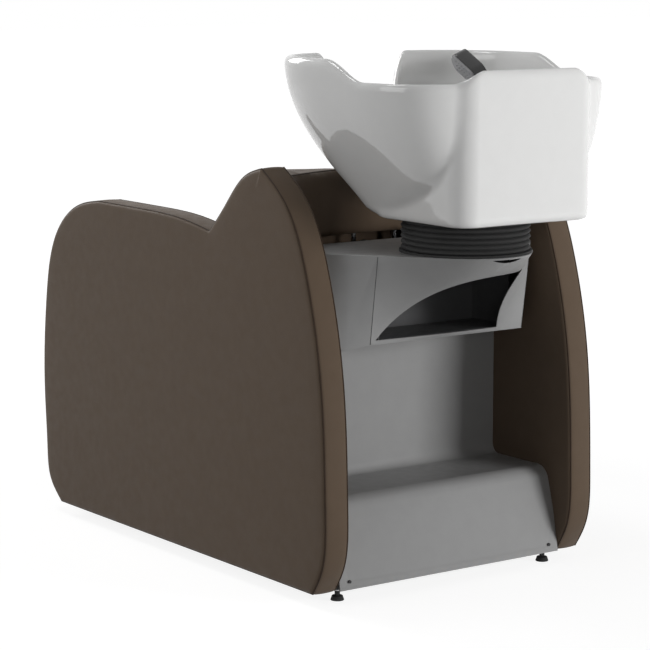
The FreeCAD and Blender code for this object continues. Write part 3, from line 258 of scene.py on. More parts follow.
RUBBER = Finish("bellows_rubber", linear(70, 70, 71), Skin.RUBBER, 0.48, grain=1500.0, bump=0.12)
FOOT_BLACK = Finish("foot_black", linear(22, 22, 22), Skin.MOULDED, 0.4, grain=900.0, bump=0.1)
STEEL = Finish("steel", linear(180, 180, 182), Skin.METAL, 0.28, 1.0, grain=500.0, bump=0.05)
CHROME = Finish("chrome", linear(215, 215, 217), Skin.METAL, 0.07, 1.0, grain=300.0, bump=0.008, vary=0.01)
HANDSET_BLACK = Finish("handset_black", linear(8, 8, 9), Skin.MOULDED, 0.12, grain=300.0, bump=0.01,
                       shine=0.15)
SPRAY_GREY = Finish("spray_grey", linear(150, 150, 152), Skin.MOULDED, 0.35, grain=900.0, bump=0.06)
BRASS = Finish("brass", linear(200, 165, 96), Skin.METAL, 0.25, 1.0, grain=400.0, bump=0.04)


def natural_spline(points: Sequence[Point2], count: int) -> np.ndarray:
    """Run a natural cubic spline through points, by chord length.

    Args:
        points: Points of the stretch.
        count: Samples on it, both ends included.

    Returns:
        An array of samples.
    """
    given = np.array(points, float)
    steps = np.hypot(*np.diff(given, axis=0).T)
    knots = np.concatenate([[0.0], np.cumsum(steps)])
    size = len(given)
    matrix = np.eye(size)
    rest = np.zeros((size, 2))
    for i in range(1, size - 1):
        matrix[i, i - 1] = steps[i - 1]
        matrix[i, i] = 2 * (steps[i - 1] + steps[i])
        matrix[i, i + 1] = steps[i]
        rest[i] = 6 * ((given[i + 1] - given[i]) / steps[i] - (given[i] - given[i - 1]) / steps[i - 1])
    second = np.linalg.solve(matrix, rest)
    at = np.linspace(0, knots[-1], count)
    index = np.clip(np.searchsorted(knots, at, side="right") - 1, 0, size - 2)
    span = steps[index][:, None]
    after = (at - knots[index])[:, None]
    before = span - after
    curve = (second[index] * before ** 3 + second[index + 1] * after ** 3) / (6 * span)
    curve += (given[index] / span - second[index] * span / 6) * before
    curve += (given[index + 1] / span - second[index + 1] * span / 6) * after
    return curve


def link_mesh(name: str, vertices: Sequence, faces: Sequence, finish: Finish,
              smooth: bool = True) -> bpy.types.Object:
    """Make a mesh object with a finish.

    Args:
        name: Name of the piece.
        vertices: Vertex positions.
        faces: Vertex numbers of each face.
        finish: Its finish.
        smooth: Whether its faces shade smoothly.

    Returns:
        The object.
    """
    mesh = bpy.data.meshes.new(name)
    mesh.from_pydata([tuple(v) for v in vertices], [], [tuple(f) for f in faces])
    mesh.validate()
    work = bmesh.new()
    work.from_mesh(mesh)
    bmesh.ops.recalc_face_normals(work, faces=work.faces)
    work.to_mesh(mesh)
    work.free()
    mesh.polygons.foreach_set("use_smooth", [smooth] * len(mesh.polygons))
    mesh.materials.append(finish.material())
    piece = bpy.data.objects.new(name, mesh)
    bpy.context.scene.collection.objects.link(piece)
    return piece


def loft(name: str, rings: Sequence[Ring], finish: Finish, caps: bool = True,
         looped: bool = False) -> bpy.types.Object:
    """Skin closed rings of equal length.

    Args:
        name: Name of the piece.
        rings: The rings, in order.
        finish: Its finish.
        caps: Whether the first and the last ring are closed with a face.
        looped: Whether the last ring joins the first.

    Returns:
        The object.
    """
    size = len(rings[0])
    vertices = [point for ring in rings for point in ring]
    faces = []
    last = len(rings) if looped else len(rings) - 1
    for level in range(last):
        low = level * size
        high = ((level + 1) % len(rings)) * size
        for i in range(size):
            j = (i + 1) % size
            faces.append((low + i, low + j, high + j, high + i))
    if caps and not looped:
        faces.append(tuple(range(size)))
        faces.append(tuple(range((len(rings) - 1) * size, len(rings) * size)))
    return link_mesh(name, vertices, faces, finish)


def lathe(name: str, profile: Sequence[Point2], centre: Vector, axis: Vector, finish: Finish,
          steps: int = 64) -> bpy.types.Object:
    """Turn a profile of radius and height about an axis.

    Args:
        name: Name of the piece.
        profile: Radius and height of each ring.
        centre: Point at height zero.
        axis: Direction of the height.
        finish: Its finish.
        steps: Points round each ring.

    Returns:
        The object.
    """
    turn = axis.to_track_quat("Z", "Y")
    rings = []
    for radius, height in profile:
        ring = []
        for step in range(steps):
            angle = 2 * math.pi * step / steps
            spot = centre + turn @ Vector((radius * math.cos(angle), radius * math.sin(angle), height))
            ring.append(tuple(spot))
        rings.append(ring)
    return loft(name, rings, finish)


def tube(name: str, path: np.ndarray, radius: float, finish: Finish, closed: bool = True,
         sides: int = 8) -> bpy.types.Object:
    """Sweep a small circle along a path.

    Args:
        name: Name of the piece.
        path: Points of the path.
        radius: Radius of the tube.
        finish: Its finish.
        closed: Whether the path is a loop.
        sides: Points round the tube.

    Returns:
        The object.
    """
    count = len(path)
    ahead = np.roll(path, -1, axis=0) - np.roll(path, 1, axis=0)
    if not closed:
        ahead[0] = path[1] - path[0]
        ahead[-1] = path[-1] - path[-2]
    ahead /= np.linalg.norm(ahead, axis=1)[:, None]
    spread = np.ptp(path, axis=0)
    normal = np.zeros(3)
    normal[int(np.argmin(spread))] = 1.0
    rings = []
    for i in range(count):
        across = np.cross(normal, ahead[i])
        across /= max(np.linalg.norm(across), 1e-9)
        up = np.cross(ahead[i], across)
        angles = np.linspace(0, 2 * math.pi, sides, endpoint=False)
        rings.append([tuple(path[i] + radius * (math.cos(a) * across + math.sin(a) * up)) for a in angles])
    return loft(name, rings, finish, caps=not closed, looped=closed)


def soften(node: str, name: str, finish: Finish, width: float, segments: int = 3) -> bpy.types.Object:
    """Copy a solid's mesh and round its edges.

    Args:
        node: Name of the solid.
        name: Name of the new piece.
        finish: Its finish.
        width: Width of the rounding.
        segments: Faces across the rounding.

    Returns:
        The object.
    """
    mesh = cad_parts[node].data.copy()
    mesh.name = name
    mesh.materials.clear()
    mesh.materials.append(finish.material())
    work = bmesh.new()
    work.from_mesh(mesh)
    bmesh.ops.remove_doubles(work, verts=work.verts, dist=2e-5)
    bmesh.ops.dissolve_limit(work, angle_limit=math.radians(1.0), verts=work.verts, edges=work.edges)
    for face in work.faces:
        face.material_index = 0
        face.smooth = True
    work.to_mesh(mesh)
    work.free()
    piece = bpy.data.objects.new(name, mesh)
    bpy.context.scene.collection.objects.link(piece)
    bevel = piece.modifiers.new("round", "BEVEL")
    bevel.width = width
    bevel.segments = segments
    bevel.limit_method = "ANGLE"
    bevel.angle_limit = math.radians(28)
    bevel.harden_normals = True
    apply_modifiers(piece)
    return piece


def apply_modifiers(piece: bpy.types.Object) -> None:
    """Make a piece's modifiers part of its mesh.

    Args:
        piece: The piece.
    """
    bpy.context.view_layer.update()
    graph = bpy.context.evaluated_depsgraph_get()
    mesh = bpy.data.meshes.new_from_object(piece.evaluated_get(graph))
    piece.modifiers.clear()
    piece.data = mesh


def place(piece: bpy.types.Object, body: str, slot: str, *nodes: str) -> bpy.types.Object:
    """Ride a piece on a body and hide the solids that it stands for.

    Args:
        piece: The piece.
        body: Body that carries it.
        slot: Its material slot; not used.
        nodes: Solids that it replaces.

    Returns:
        The piece.
    """
    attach(piece, body)
    if nodes:
        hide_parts(*nodes)
    LOG.info("%s on %s", piece.name, body)
    return piece


def dress(finish: Finish, *nodes: str) -> None:
    """Give solids that show as they are a finish.

    Args:
        finish: The finish.
        nodes: Names of the solids.
    """
    for node in nodes:
        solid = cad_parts[node]
        if not solid.material_slots:
            solid.data.materials.append(finish.material())
        for holder in solid.material_slots:
            holder.material = finish.material()
        LOG.info("%s dressed with %s", node, finish.name)


@dataclass
class SidePanels:
    """Two padded side panels with a border band between two seams."""

    front: float = -604.5 * MM
    rear: float = 423.5 * MM
    low: float = 24 * MM
    arm: float = 680 * MM
    wing: float = 788 * MM
    inner: float = 262 * MM
    seam_radius: float = 1.3 * MM
    seam_inset: float = 1.2 * MM
    seams: Tuple[Tuple[str, float], ...] = (("inner", 4.6), ("outer", 53.4))
    face_centre: Point2 = (-60 * MM, 330 * MM)
    crown: Tuple[Tuple[float, float, int], ...] = field(default=(
        (0.04, 2.0, 24), (0.3, 2.0, 20), (0.6, 1.7, 16), (0.85, 1.1, 12), (0.95, 0.5, 7)))
    section: Tuple[Point2, ...] = field(default=(
        (0.2, 10.0), (0.6, 6.0), (1.6, 3.4), (3.6, 1.8), (4.6, 2.6), (5.6, 1.0), (9.0, 0.2), (18.0, -0.5),
        (29.0, -0.8), (40.0, -0.5), (49.0, 0.2), (52.4, 1.0), (53.4, 2.6), (54.4, 1.8), (56.4, 3.4),
        (57.4, 6.0), (57.8, 10.0)))

    def outline(self) -> np.ndarray:
        """Sample the panel's outline in the YZ plane.

        Returns:
            Points of the closed outline.
        """
        f, r, low, arm, wing = (v / MM for v in (self.front, self.rear, self.low, self.arm, self.wing))
        notch = r - 376
        nose = [(f + 64, low), (f + 17, low + 48), (f + 7, low + 113), (f, low + 242), (f + 15, arm - 219),
                (f + 58, arm - 87), (f + 149, arm - 18), (f + 240, arm)]
        rest = [(f + 240, arm), (f + 400, arm - 1), (f + 560, arm - 8), (notch, arm - 22)]
        crest = [(notch, arm - 22), (notch + 54, wing - 77), (notch + 123, wing - 16), (r - 200, wing)]
        back = [(r - 200, wing), (r - 125, wing - 57), (r - 57, wing - 187), (r - 13, wing - 380),
                (r, low + 154), (r - 10, low + 52), (r - 40, low)]
        foot = [(r - 40, low), (f + 64, low)]
        parts = [natural_spline(nose, 150)[:-1], natural_spline(rest, 70)[:-1],
                 natural_spline(crest, 60)[:-1], natural_spline(back, 150)[:-1],
                 np.linspace(foot[0], foot[1], 130)[:-1]]
        return np.concatenate(parts) * MM

    @staticmethod
    def drawn_in(line: np.ndarray, by: float) -> np.ndarray:
        """Offset a closed outline inwards.

        Args:
            line: Points of the outline.
            by: Distance.

        Returns:
            The new outline.
        """
        ahead = np.roll(line, -1, axis=0) - np.roll(line, 1, axis=0)
        ahead /= np.linalg.norm(ahead, axis=1)[:, None]
        normal = np.stack([ahead[:, 1], -ahead[:, 0]], axis=1)
        return line + normal * by

    @staticmethod
    def eased(line: np.ndarray, reach: int) -> np.ndarray:
        """Even out the corners of a closed outline.

        Args:
            line: Points of the outline.
            reach: Points taken into the mean on each side.

        Returns:
            The new outline.
        """
        return sum(np.roll(line, step, axis=0) for step in range(-reach, reach + 1)) / (2 * reach + 1)

    def build(self) -> None:
        """Build both panels, their seams and their boards."""
        for side, sign in (("left", 1), ("right", -1)):
            self.build_side(side, sign)
            dress(PLYWOOD, "side_board_" + side)

    def build_side(self, side: str, sign: int) -> None:
        """Build one panel.

        Args:
            side: Name of the side.
            sign: Sign of X on that side.
        """
        line = self.outline()
        centre = np.array(self.face_centre)
        rings: List[Ring] = []
        start, end = self.section[0], self.section[-1]
        first = self.drawn_in(line, start[1] * MM)
        for part, crown, reach in self.crown:
            flat = centre + (self.eased(first, reach) - centre) * part
            rings.append(self.ring(flat, sign * (self.inner + (start[0] - crown * 0.1) * MM)))
        for across, inset in self.section:
            rings.append(self.ring(self.drawn_in(line, inset * MM), sign * (self.inner + across * MM)))
        for part, crown, reach in reversed(self.crown):
            flat = centre + (self.eased(first, reach) - centre) * part
            rings.append(self.ring(flat, sign * (self.inner + (end[0] + crown) * MM)))
        panel = loft("side_panel_" + side, rings, VINYL)
        place(panel, "chassis", "brown_vinyl", "side_pad_" + side)
        for edge, across in self.seams:
            seam = self.drawn_in(line, self.seam_inset)
            path = np.array(self.ring(seam, sign * (self.inner + across * MM)))
            cord = tube(f"side_seam_{side}_{edge}", path, self.seam_radius, PIPING)
            place(cord, "chassis", "brown_vinyl")

    @staticmethod
    def ring(line: np.ndarray, x: float) -> Ring:
        """Lift an outline to one X.

        Args:
            line: Points of the outline in the YZ plane.
            x: The X.

        Returns:
            The ring.
        """
        return [(x, float(p[0]), float(p[1])) for p in line]


@dataclass
class Seating:
    """Seat, front apron and backrest, upholstered."""

    voxel: float = 6 * MM
    hollow: float = 78 * MM
    frames: int = 14
    welt_radius: float = 2.2 * MM
    welt_drop: float = 20 * MM
    welt_rounding: float = 26 * MM
    seam_radius: float = 1.2 * MM

    def block(self, name: str, node: str, shrink: float) -> bpy.types.Object:
        """Copy a soft solid, slightly smaller, as an even mesh.

        Args:
            name: Name of the piece.
            node: The solid.
            shrink: Distance that its faces are drawn in.

        Returns:
            The object.
        """
        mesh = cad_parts[node].data.copy()
        mesh.materials.clear()
        mesh.materials.append(VINYL.material())
        piece = bpy.data.objects.new(name, mesh)
        bpy.context.scene.collection.objects.link(piece)
        remesh = piece.modifiers.new("even", "REMESH")
        remesh.mode = "VOXEL"
        remesh.voxel_size = self.voxel
        ease = piece.modifiers.new("ease", "SMOOTH")
        ease.factor = 0.5
        ease.iterations = 6
        draw = piece.modifiers.new("draw", "DISPLACE")
        draw.strength = -shrink
        draw.mid_level = 0.0
        apply_modifiers(piece)
        return piece

    def inflate(self, piece: bpy.types.Object, cap: float, pressure: float = 4.0) -> None:
        """Swell a pad with a short cloth simulation, held to a cap.

        Args:
            piece: The pad.
            cap: Furthest that a point may move.
            pressure: Pressure inside.
        """
        before = np.array([v.co for v in piece.data.vertices])
        cloth = piece.modifiers.new("cloth", "CLOTH")
        cloth.settings.use_pressure = True
        cloth.settings.uniform_pressure_force = pressure
        cloth.settings.effector_weights.gravity = 0.0
        cloth.settings.quality = 4
        cloth.point_cache.frame_start = 1
        cloth.point_cache.frame_end = self.frames
        scene = bpy.context.scene
        for number in range(1, self.frames + 1):
            scene.frame_set(number)
        apply_modifiers(piece)
        scene.frame_set(1)
        after = np.array([v.co for v in piece.data.vertices])
        step = after - before
        size = np.linalg.norm(step, axis=1)[:, None]
        step *= np.minimum(1.0, cap / np.maximum(size, 1e-9))
        piece.data.vertices.foreach_set("co", (before + step).ravel())
        ease = piece.modifiers.new("ease", "SMOOTH")
        ease.factor = 0.5
        ease.iterations = 4
        piece.modifiers.new("fine", "SUBSURF").levels = 1
        apply_modifiers(piece)
        piece.data.polygons.foreach_set("use_smooth", [True] * len(piece.data.polygons))

    def welt(self, name: str, corners: Sequence[Tuple[float, float, float]], rounding: float) -> None:
        """Sew a welt round a pad.

        Args:
            name: Name of the piece.
            corners: Corners of the welt's loop.
            rounding: Radius of its corners.
        """
        path = []
        points = [Vector(c) for c in corners]
        for i, corner in enumerate(points):
            back = (points[i - 1] - corner).normalized()
            ahead = (points[(i + 1) % len(points)] - corner).normalized()
            start = corner + back * rounding
            end = corner + ahead * rounding
            for step in range(9):
                t = step / 8
                path.append(start * (1 - t) ** 2 + corner * (2 * t * (1 - t)) + end * t ** 2)
            following = points[(i + 1) % len(points)] - ahead * rounding
            for step in range(1, 12):
                path.append(end.lerp(following, step / 12))
        cord = tube(name, np.array([tuple(p) for p in path]), self.welt_radius, PIPING)
        place(cord, "chassis", "brown_vinyl")

    def build(self) -> None:
        """Build every pad of the seating."""
        for name, node, shrink, cap in (("seat_pad", "seat_cushion", 5 * MM, 12 * MM),
                                        ("back_pad", "back_cushion", 4 * MM, 10 * MM),
                                        ("back_rear_cover", "back_rear_pad", 2 * MM, 4 * MM)):
            pad = self.block(name, node, shrink)
            self.inflate(pad, cap)
            place(pad, "chassis", "brown_vinyl", node)
        self.apron()
        self.head_seam()
        low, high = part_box("seat_cushion")
        z = high.z - self.welt_drop
        edge = 1.0 * MM
        loop = [(low.x + edge, low.y + edge, z), (high.x - edge, low.y + edge, z),
                (high.x - edge, high.y - edge, z), (low.x + edge, high.y - edge, z)]
        self.welt("seat_welt", loop, self.welt_rounding)
        dress(PLYWOOD, "seat_board", "back_board")

    def apron(self) -> None:
        """Upholster the front apron."""
        panel = soften("front_apron", "apron_pad", VINYL, 6 * MM, 4)
        place(panel, "chassis", "brown_vinyl", "front_apron")

    def head_seam(self) -> None:
        """Sew a seam along the rear edge of the backrest's head."""
        low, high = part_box("back_rear_pad")
        path = []
        for step in range(61):
            x = high.x * (0.985 - 1.97 * step / 60)
            y = high.y - self.hollow * (1 - (x / high.x) ** 2)
            path.append((x, y - 1.0 * MM, high.z - 8 * MM))
        cord = tube("back_rear_seam", np.array(path), self.seam_radius, PIPING, closed=False)
        place(cord, "chassis", "brown_vinyl")


@dataclass
class RearShell:
    """Grey moulded cover, console and pocket."""

    edge: float = 2.0 * MM
    console_edge: float = 1.2 * MM
    console_top: float = 634 * MM
    console_height: float = 166 * MM
    cheek_x: float = 245 * MM
    cheek_y: float = 235 * MM
    flare_depth: float = 136 * MM
    # Place and thickness of the painted shade lines, thin dark tubes down the corners between the cheeks and
    # the prow.
    seam_shade_x: float = 179.2 * MM
    seam_shade_head: Point2 = (393.8 * MM, 632.6 * MM)
    seam_shade_foot: Point2 = (371.0 * MM, 469.4 * MM)
    seam_radius: float = 1.1 * MM

    def build(self) -> None:
        """Round the mouldings' edges and dress the pocket, screws and ring."""
        cover = soften("rear_cover", "rear_cover_shell", GREY_SHELL, self.edge)
        place(cover, "chassis", "grey_plastic", "rear_cover")
        console = soften("console", "console_shell", GREY_SHELL, self.console_edge)
        self.flare(console)
        place(console, "chassis", "grey_plastic", "console")
        # Painted shade: a thin dark tube down each corner between a cheek and the prow.
        for sign in (-1, 1):
            self.seam(sign)
        # The pocket's liner in the darker grey, painted shade inside the pocket.
        dress(POCKET_SHADE_GREY, "pocket_liner")
        dress(DARK_SHELL_AND_SHADE, "cover_screws", "power_inlet", "waste_pipe")
        dress(RUBBER, "bellows_ring")

    def flare(self, console: bpy.types.Object) -> None:
        """Bring the lower outer corner of the left cheek back to the panel's edge.

        Args:
            console: The console's skin.
        """
        for vertex in console.data.vertices:
            x, y, z = vertex.co
            if x > self.cheek_x and y > self.cheek_y:
                vertex.co.y = y + self.flare_depth * (self.console_top - z) / self.console_height
        console.data.update()

    def seam(self, sign: int) -> None:
        """Painted shade line down the corner between a cheek and the prow: a thin dark tube that stands in
        for the shade in the groove there.

        Args:
            sign: Side, 1 for +X.
        """
        head = Vector((sign * self.seam_shade_x, self.seam_shade_head[0], self.seam_shade_head[1]))
        foot = Vector((sign * self.seam_shade_x, self.seam_shade_foot[0], self.seam_shade_foot[1]))
        path = np.array([list(head.lerp(foot, i / 12)) for i in range(13)])
        name = "console_seam_shade_left" if sign > 0 else "console_seam_shade_right"
        # A dark tube that paints the shade in the groove at the corner.
        line = tube(name, path, self.seam_radius, DARK_SHELL_AND_SHADE, closed=False)
        place(line, "chassis", "dark_plastic")


@dataclass
class Basin:
    """White glazed basin: a bowl that swells from its foot, with a squared box behind."""

    foot_z: float = 698 * MM
    rim_z: float = 988 * MM
    box_half: float = 157 * MM
    box_rear: float = 604.5 * MM
    box_front: float = 339.5 * MM
    bowl_half: float = 256 * MM
    bowl_front: float = 82.5 * MM
    bowl_rear: float = 598.5 * MM
    bowl_foot_half: float = 145 * MM
    bowl_foot_front: float = 305.5 * MM
    bowl_tuck: float = 250 * MM
    power: float = 3.0
    rear_power: float = 3.7
    corner: float = 40 * MM
    roll: float = 17 * MM
    wall: float = 14 * MM
    band: float = 24 * MM
    floor_z: float = 730 * MM
    ledge_z: float = 880 * MM
    ledge_front: float = 500.5 * MM
    neck_half: float = 115 * MM
    neck_flat: float = 52 * MM
    neck_slope: float = 56 * MM
    neck_end: float = 200 * MM
    neck_z: float = 875 * MM
    side_dip: float = 38 * MM
    dip_start: float = 318 * MM
    dip_run: float = 118 * MM
    rear_drop: float = 15 * MM
    rise_start: float = 540 * MM
    rise_edge: float = 8 * MM
    rise_run: float = 58 * MM
    band_fall: float = 0.25
    foot_round: float = 6 * MM
    foot_rings: Tuple[Point2, ...] = ((30 * MM, 1 * MM), (6 * MM, 0.3 * MM), (1.5 * MM, 1.8 * MM))
    joint_ease: float = 7 * MM
    recess_lap: float = 60 * MM
    least_wall: float = 10 * MM
    inner_start: float = 0.06
    rim_blend: float = 0.25
    floor_fall: float = 4 * MM
    rim_steps: int = 15
    inner_levels: int = 40
    middle_y: float = 455 * MM
    stations: int = 768
    levels: int = 44

    def bowl(self, angle: float, z: float, wall: float) -> float:
        """Reach of the bowl, which swells from the foot and is tucked forward there.

        Args:
            angle: Direction in plan.
            z: Height.
            wall: Distance that the surface is set in.

        Returns:
            The distance from the middle.
        """
        fall = 1 - min(max((z - self.foot_z) / (self.rim_z - self.foot_z), 0.0), 1.0)
        swell = 1 - fall ** 2
        half = self.bowl_foot_half + (self.bowl_half - self.bowl_foot_half) * swell - wall
        front = self.bowl_foot_front - (self.bowl_foot_front - self.bowl_front) * swell + wall
        rear = self.bowl_rear - self.bowl_tuck * fall ** 7 - wall
        return self.reach(angle, half, front, rear, self.power, self.rear_power)

    def reach(self, angle: float, half: float, front: float, rear: float, power: float,
              rear_power: float) -> float:
        """Distance from the middle to a squared ellipse.

        Args:
            angle: Direction in plan, 0 along +X.
            half: Half of its width.
            front: Front end.
            rear: Rear end.
            power: Its squareness before its middle.
            rear_power: Its squareness behind it.

        Returns:
            The distance.
        """
        yc = (front + rear) / 2
        depth = (rear - front) / 2
        c, s = math.cos(angle), math.sin(angle)
        low, high = 0.0, 1.0
        for _ in range(40):
            r = (low + high) / 2
            along = (self.middle_y + r * s - yc) / depth
            square = rear_power if along > 0 else power
            inside = abs(r * c / half) ** square + abs(along) ** square
            if inside < 1:
                low = r
            else:
                high = r
        return low

    def box(self, angle: float, half: float, front: float, rear: float) -> float:
        """Distance from the middle to a rectangle with round corners.

        Args:
            angle: Direction in plan, 0 along +X.
            half: Half of its width.
            front: Front end.
            rear: Rear end.

        Returns:
            The distance.
        """
        yc = (front + rear) / 2
        depth = (rear - front) / 2
        c, s = math.cos(angle), math.sin(angle)
        low, high = 0.0, 1.0
        for _ in range(40):
            r = (low + high) / 2
            across = abs(r * c) - half + self.corner
            along = abs(self.middle_y + r * s - yc) - depth + self.corner
            if math.hypot(max(across, 0.0), max(along, 0.0)) < self.corner:
                low = r
            else:
                high = r
        return low

    def outer(self, angle: float, z: float) -> float:
        """Reach of the outside at a height: bowl and box, eased where they meet.

        Args:
            angle: Direction in plan.
            z: Height.

        Returns:
            The distance from the middle.
        """
        bowl = self.bowl(angle, z, 0.0)
        rear = self.box(angle, self.box_half, self.box_front, self.box_rear)
        gap = max(self.joint_ease - abs(bowl - rear), 0.0) / self.joint_ease
        return max(bowl, rear) + gap * gap * self.joint_ease * 0.25

    def inner(self, angle: float, z: float) -> float:
        """Reach of the inside at a height: the bowl before the ledge, and the tap recess over it.

        Args:
            angle: Direction in plan.
            z: Height.

        Returns:
            The distance from the middle.
        """
        bowl = self.bowl(angle, z, self.wall)
        rear = self.box(angle, self.box_half - self.wall, self.ledge_front - self.recess_lap,
                        self.box_rear - self.wall)
        s = math.sin(angle)
        if s > 0:
            bowl = min(bowl, (self.ledge_front - self.middle_y) / s)
        return max(bowl, rear) if z > self.ledge_z else bowl

    def rim(self, angle: float, radius: float) -> float:
        """Height of the rim in a direction.

        Args:
            angle: Direction in plan.
            radius: Reach of the outside there.

        Returns:
            The height.
        """
        x = radius * math.cos(angle)
        y = self.middle_y + radius * math.sin(angle)
        z = self.rim_z
        if math.sin(angle) < 0 and abs(x) < self.neck_half and y < self.neck_end:
            t = min(max((abs(x) - self.neck_flat) / self.neck_slope, 0.0), 1.0)
            t = t * t * (3 - 2 * t)
            return self.neck_z + (self.rim_z - self.neck_z) * t
        fall = min(max((y - self.dip_start) / self.dip_run, 0.0), 1.0)
        z -= self.side_dip * fall * fall * (3 - 2 * fall)
        if y > self.rise_start:
            t = min(max((self.box_half + self.rise_edge - abs(x)) / self.rise_run, 0.0), 1.0)
            z += (self.side_dip - self.rear_drop) * t * t * (3 - 2 * t)
        return z

    def angles(self) -> List[float]:
        """Directions round the basin, evenly spaced.

        Returns:
            Angles in radians.
        """
        return [2 * math.pi * i / self.stations for i in range(self.stations)]

    def build(self) -> None:
        """Build the basin's skin from the foot, over the rim, down to the waste."""
        angles = self.angles()
        rings: List[Ring] = []
        tops = [self.rim(a, self.outer(a, self.rim_z)) for a in angles]
        for inset, z in self.foot_rings:
            rings.append([self.spot(a, self.outer(a, self.foot_z) - inset, self.foot_z + z) for a in angles])
        for level in range(1, self.levels + 1):
            part = level / self.levels
            ring = []
            for a, top in zip(angles, tops):
                start = self.foot_z + self.foot_round
                z = start + (top - self.roll - start) * part
                ring.append(self.spot(a, self.outer(a, z), z))
            rings.append(ring)
        for step in range(1, self.rim_steps):
            turn = math.pi * step / self.rim_steps
            inset = self.band * (1 - math.cos(turn)) / 2
            drop = self.roll * (1 - math.sin(turn))
            rings.append([self.spot(a, self.outer(a, top - drop) - inset * self.band_share(a), top - drop)
                          for a, top in zip(angles, tops)])
        for part in np.linspace(self.inner_start, 1.0, self.inner_levels):
            ring = []
            for a, top in zip(angles, tops):
                start = top - self.roll
                z = start + (self.floor_z - start) * part
                rim_reach = self.outer(a, start) - self.band * self.band_share(a)
                blend = min(part / self.rim_blend, 1.0)
                blend = blend * blend * (3 - 2 * blend)
                reach = rim_reach * (1 - blend) + self.inner(a, z) * blend
                most = self.outer(a, max(z, self.foot_z)) - self.least_wall
                ring.append(self.spot(a, min(reach, most), z))
            rings.append(ring)
        for share in (0.94, 0.8, 0.5, 0.2):
            z = self.floor_z - (1 - share) * self.floor_fall
            rings.append([self.spot(a, self.inner(a, self.floor_z) * share, z) for a in angles])
        skin = loft("basin_skin", rings, CERAMIC)
        ease = skin.modifiers.new("ease", "SMOOTH")
        ease.factor = 0.5
        ease.iterations = 5
        apply_modifiers(skin)
        place(skin, "basin", "white_ceramic", "basin")
        dress(FRAME_PAINT, "basin_cradle")
        dress(CHROME, "waste_strainer", "waste_tail")

    def band_share(self, angle: float) -> float:
        """Width of the rim band in a direction, as a share of its width at the horns.

        Args:
            angle: Direction in plan.

        Returns:
            The share.
        """
        reach = self.outer(angle, self.rim_z)
        y = self.middle_y + reach * math.sin(angle)
        fall = min(max((y - self.dip_start) / self.dip_run, 0.0), 1.0)
        return 1.0 - self.band_fall * fall

    def spot(self, angle: float, reach: float, z: float) -> Tuple[float, float, float]:
        """Point in a direction, at a reach and a height.

        Args:
            angle: Direction in plan.
            reach: Distance from the middle.
            z: Height.

        Returns:
            The point.
        """
        return reach * math.cos(angle), self.middle_y + reach * math.sin(angle), z


@dataclass
class Bellows:
    """Rubber bellows across the tilt joint."""

    radius: float = 119 * MM
    depth: float = 8 * MM
    ribs: int = 6
    wall: float = 2.5 * MM

    def build(self) -> None:
        """Turn the ribbed profile between the chassis and the basin."""
        low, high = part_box("bellows")
        centre = Vector(((low.x + high.x) / 2, (low.y + high.y) / 2, 0))
        height = high.z - low.z
        profile = []
        steps = self.ribs * 16
        for step in range(steps + 1):
            part = step / steps
            wave = abs(math.sin(math.pi * self.ribs * part)) ** 0.6
            profile.append((self.radius - self.depth * (1 - wave), low.z + height * part))
        core = self.radius - self.depth - self.wall
        profile += [(core, high.z), (core, low.z), (self.radius - self.depth, low.z)]
        piece = lathe("bellows_skin", profile, centre, Vector((0, 0, 1)), RUBBER, 128)
        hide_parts("bellows")
        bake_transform(piece)
        LOG.info("%s across the tilt", piece.name)


@dataclass
class Taps:
    """Hand shower, its holder and the mixer."""

    def build(self) -> None:
        """Dress the hand shower and the mixer."""
        shell = soften("handset_shell", "handset_body", HANDSET_BLACK, 4 * MM, 4)
        place(shell, "handset", "handset_black", "handset_shell")
        dress(SPRAY_GREY, "handset_face")
        holder = soften("handset_holder", "holder_body", HANDSET_BLACK, 1.5 * MM)
        place(holder, "basin", "handset_black", "handset_holder")
        for node, body in (("mixer_body", "basin"), ("mixer_cap", "mixer_cap"),
                           ("mixer_lever", "mixer_lever")):
            place(soften(node, node + "_trim", CHROME, 1.6 * MM), body, "chrome_trim", node)


@dataclass
class Fittings:
    """Chassis, feet, keypad and the gear inside."""

    spots: Tuple[str, ...] = ("front_left", "front_right", "rear_left", "rear_right")

    def build(self) -> None:
        """Dress every fitting."""
        for spot in self.spots:
            node = "foot_" + spot
            place(soften(node, node + "_trim", FOOT_BLACK, 1.2 * MM), node, "foot_black", node)
        dress(FRAME_PAINT, "base_frame", "basin_arm", "inlet_bracket")
        dress(STEEL, "tilt_pins", "massage_rails", "massage_screw", "lock_nuts")
        dress(DARK_SHELL_AND_SHADE, "massage_carriage", "massage_motor")
        dress(RUBBER, "massage_rollers")
        dress(BRASS, "hot_inlet", "cold_inlet")
        place(soften("keypad_housing", "keypad_trim", DARK_SHELL_AND_SHADE, 1.5 * MM), "chassis", "dark_plastic",
              "keypad_housing")
        for key in ("up", "power", "down"):
            node = "button_" + key
            place(soften(node, node + "_cap", KEY_GREY, 1.0 * MM), node, "button_plastic", node)


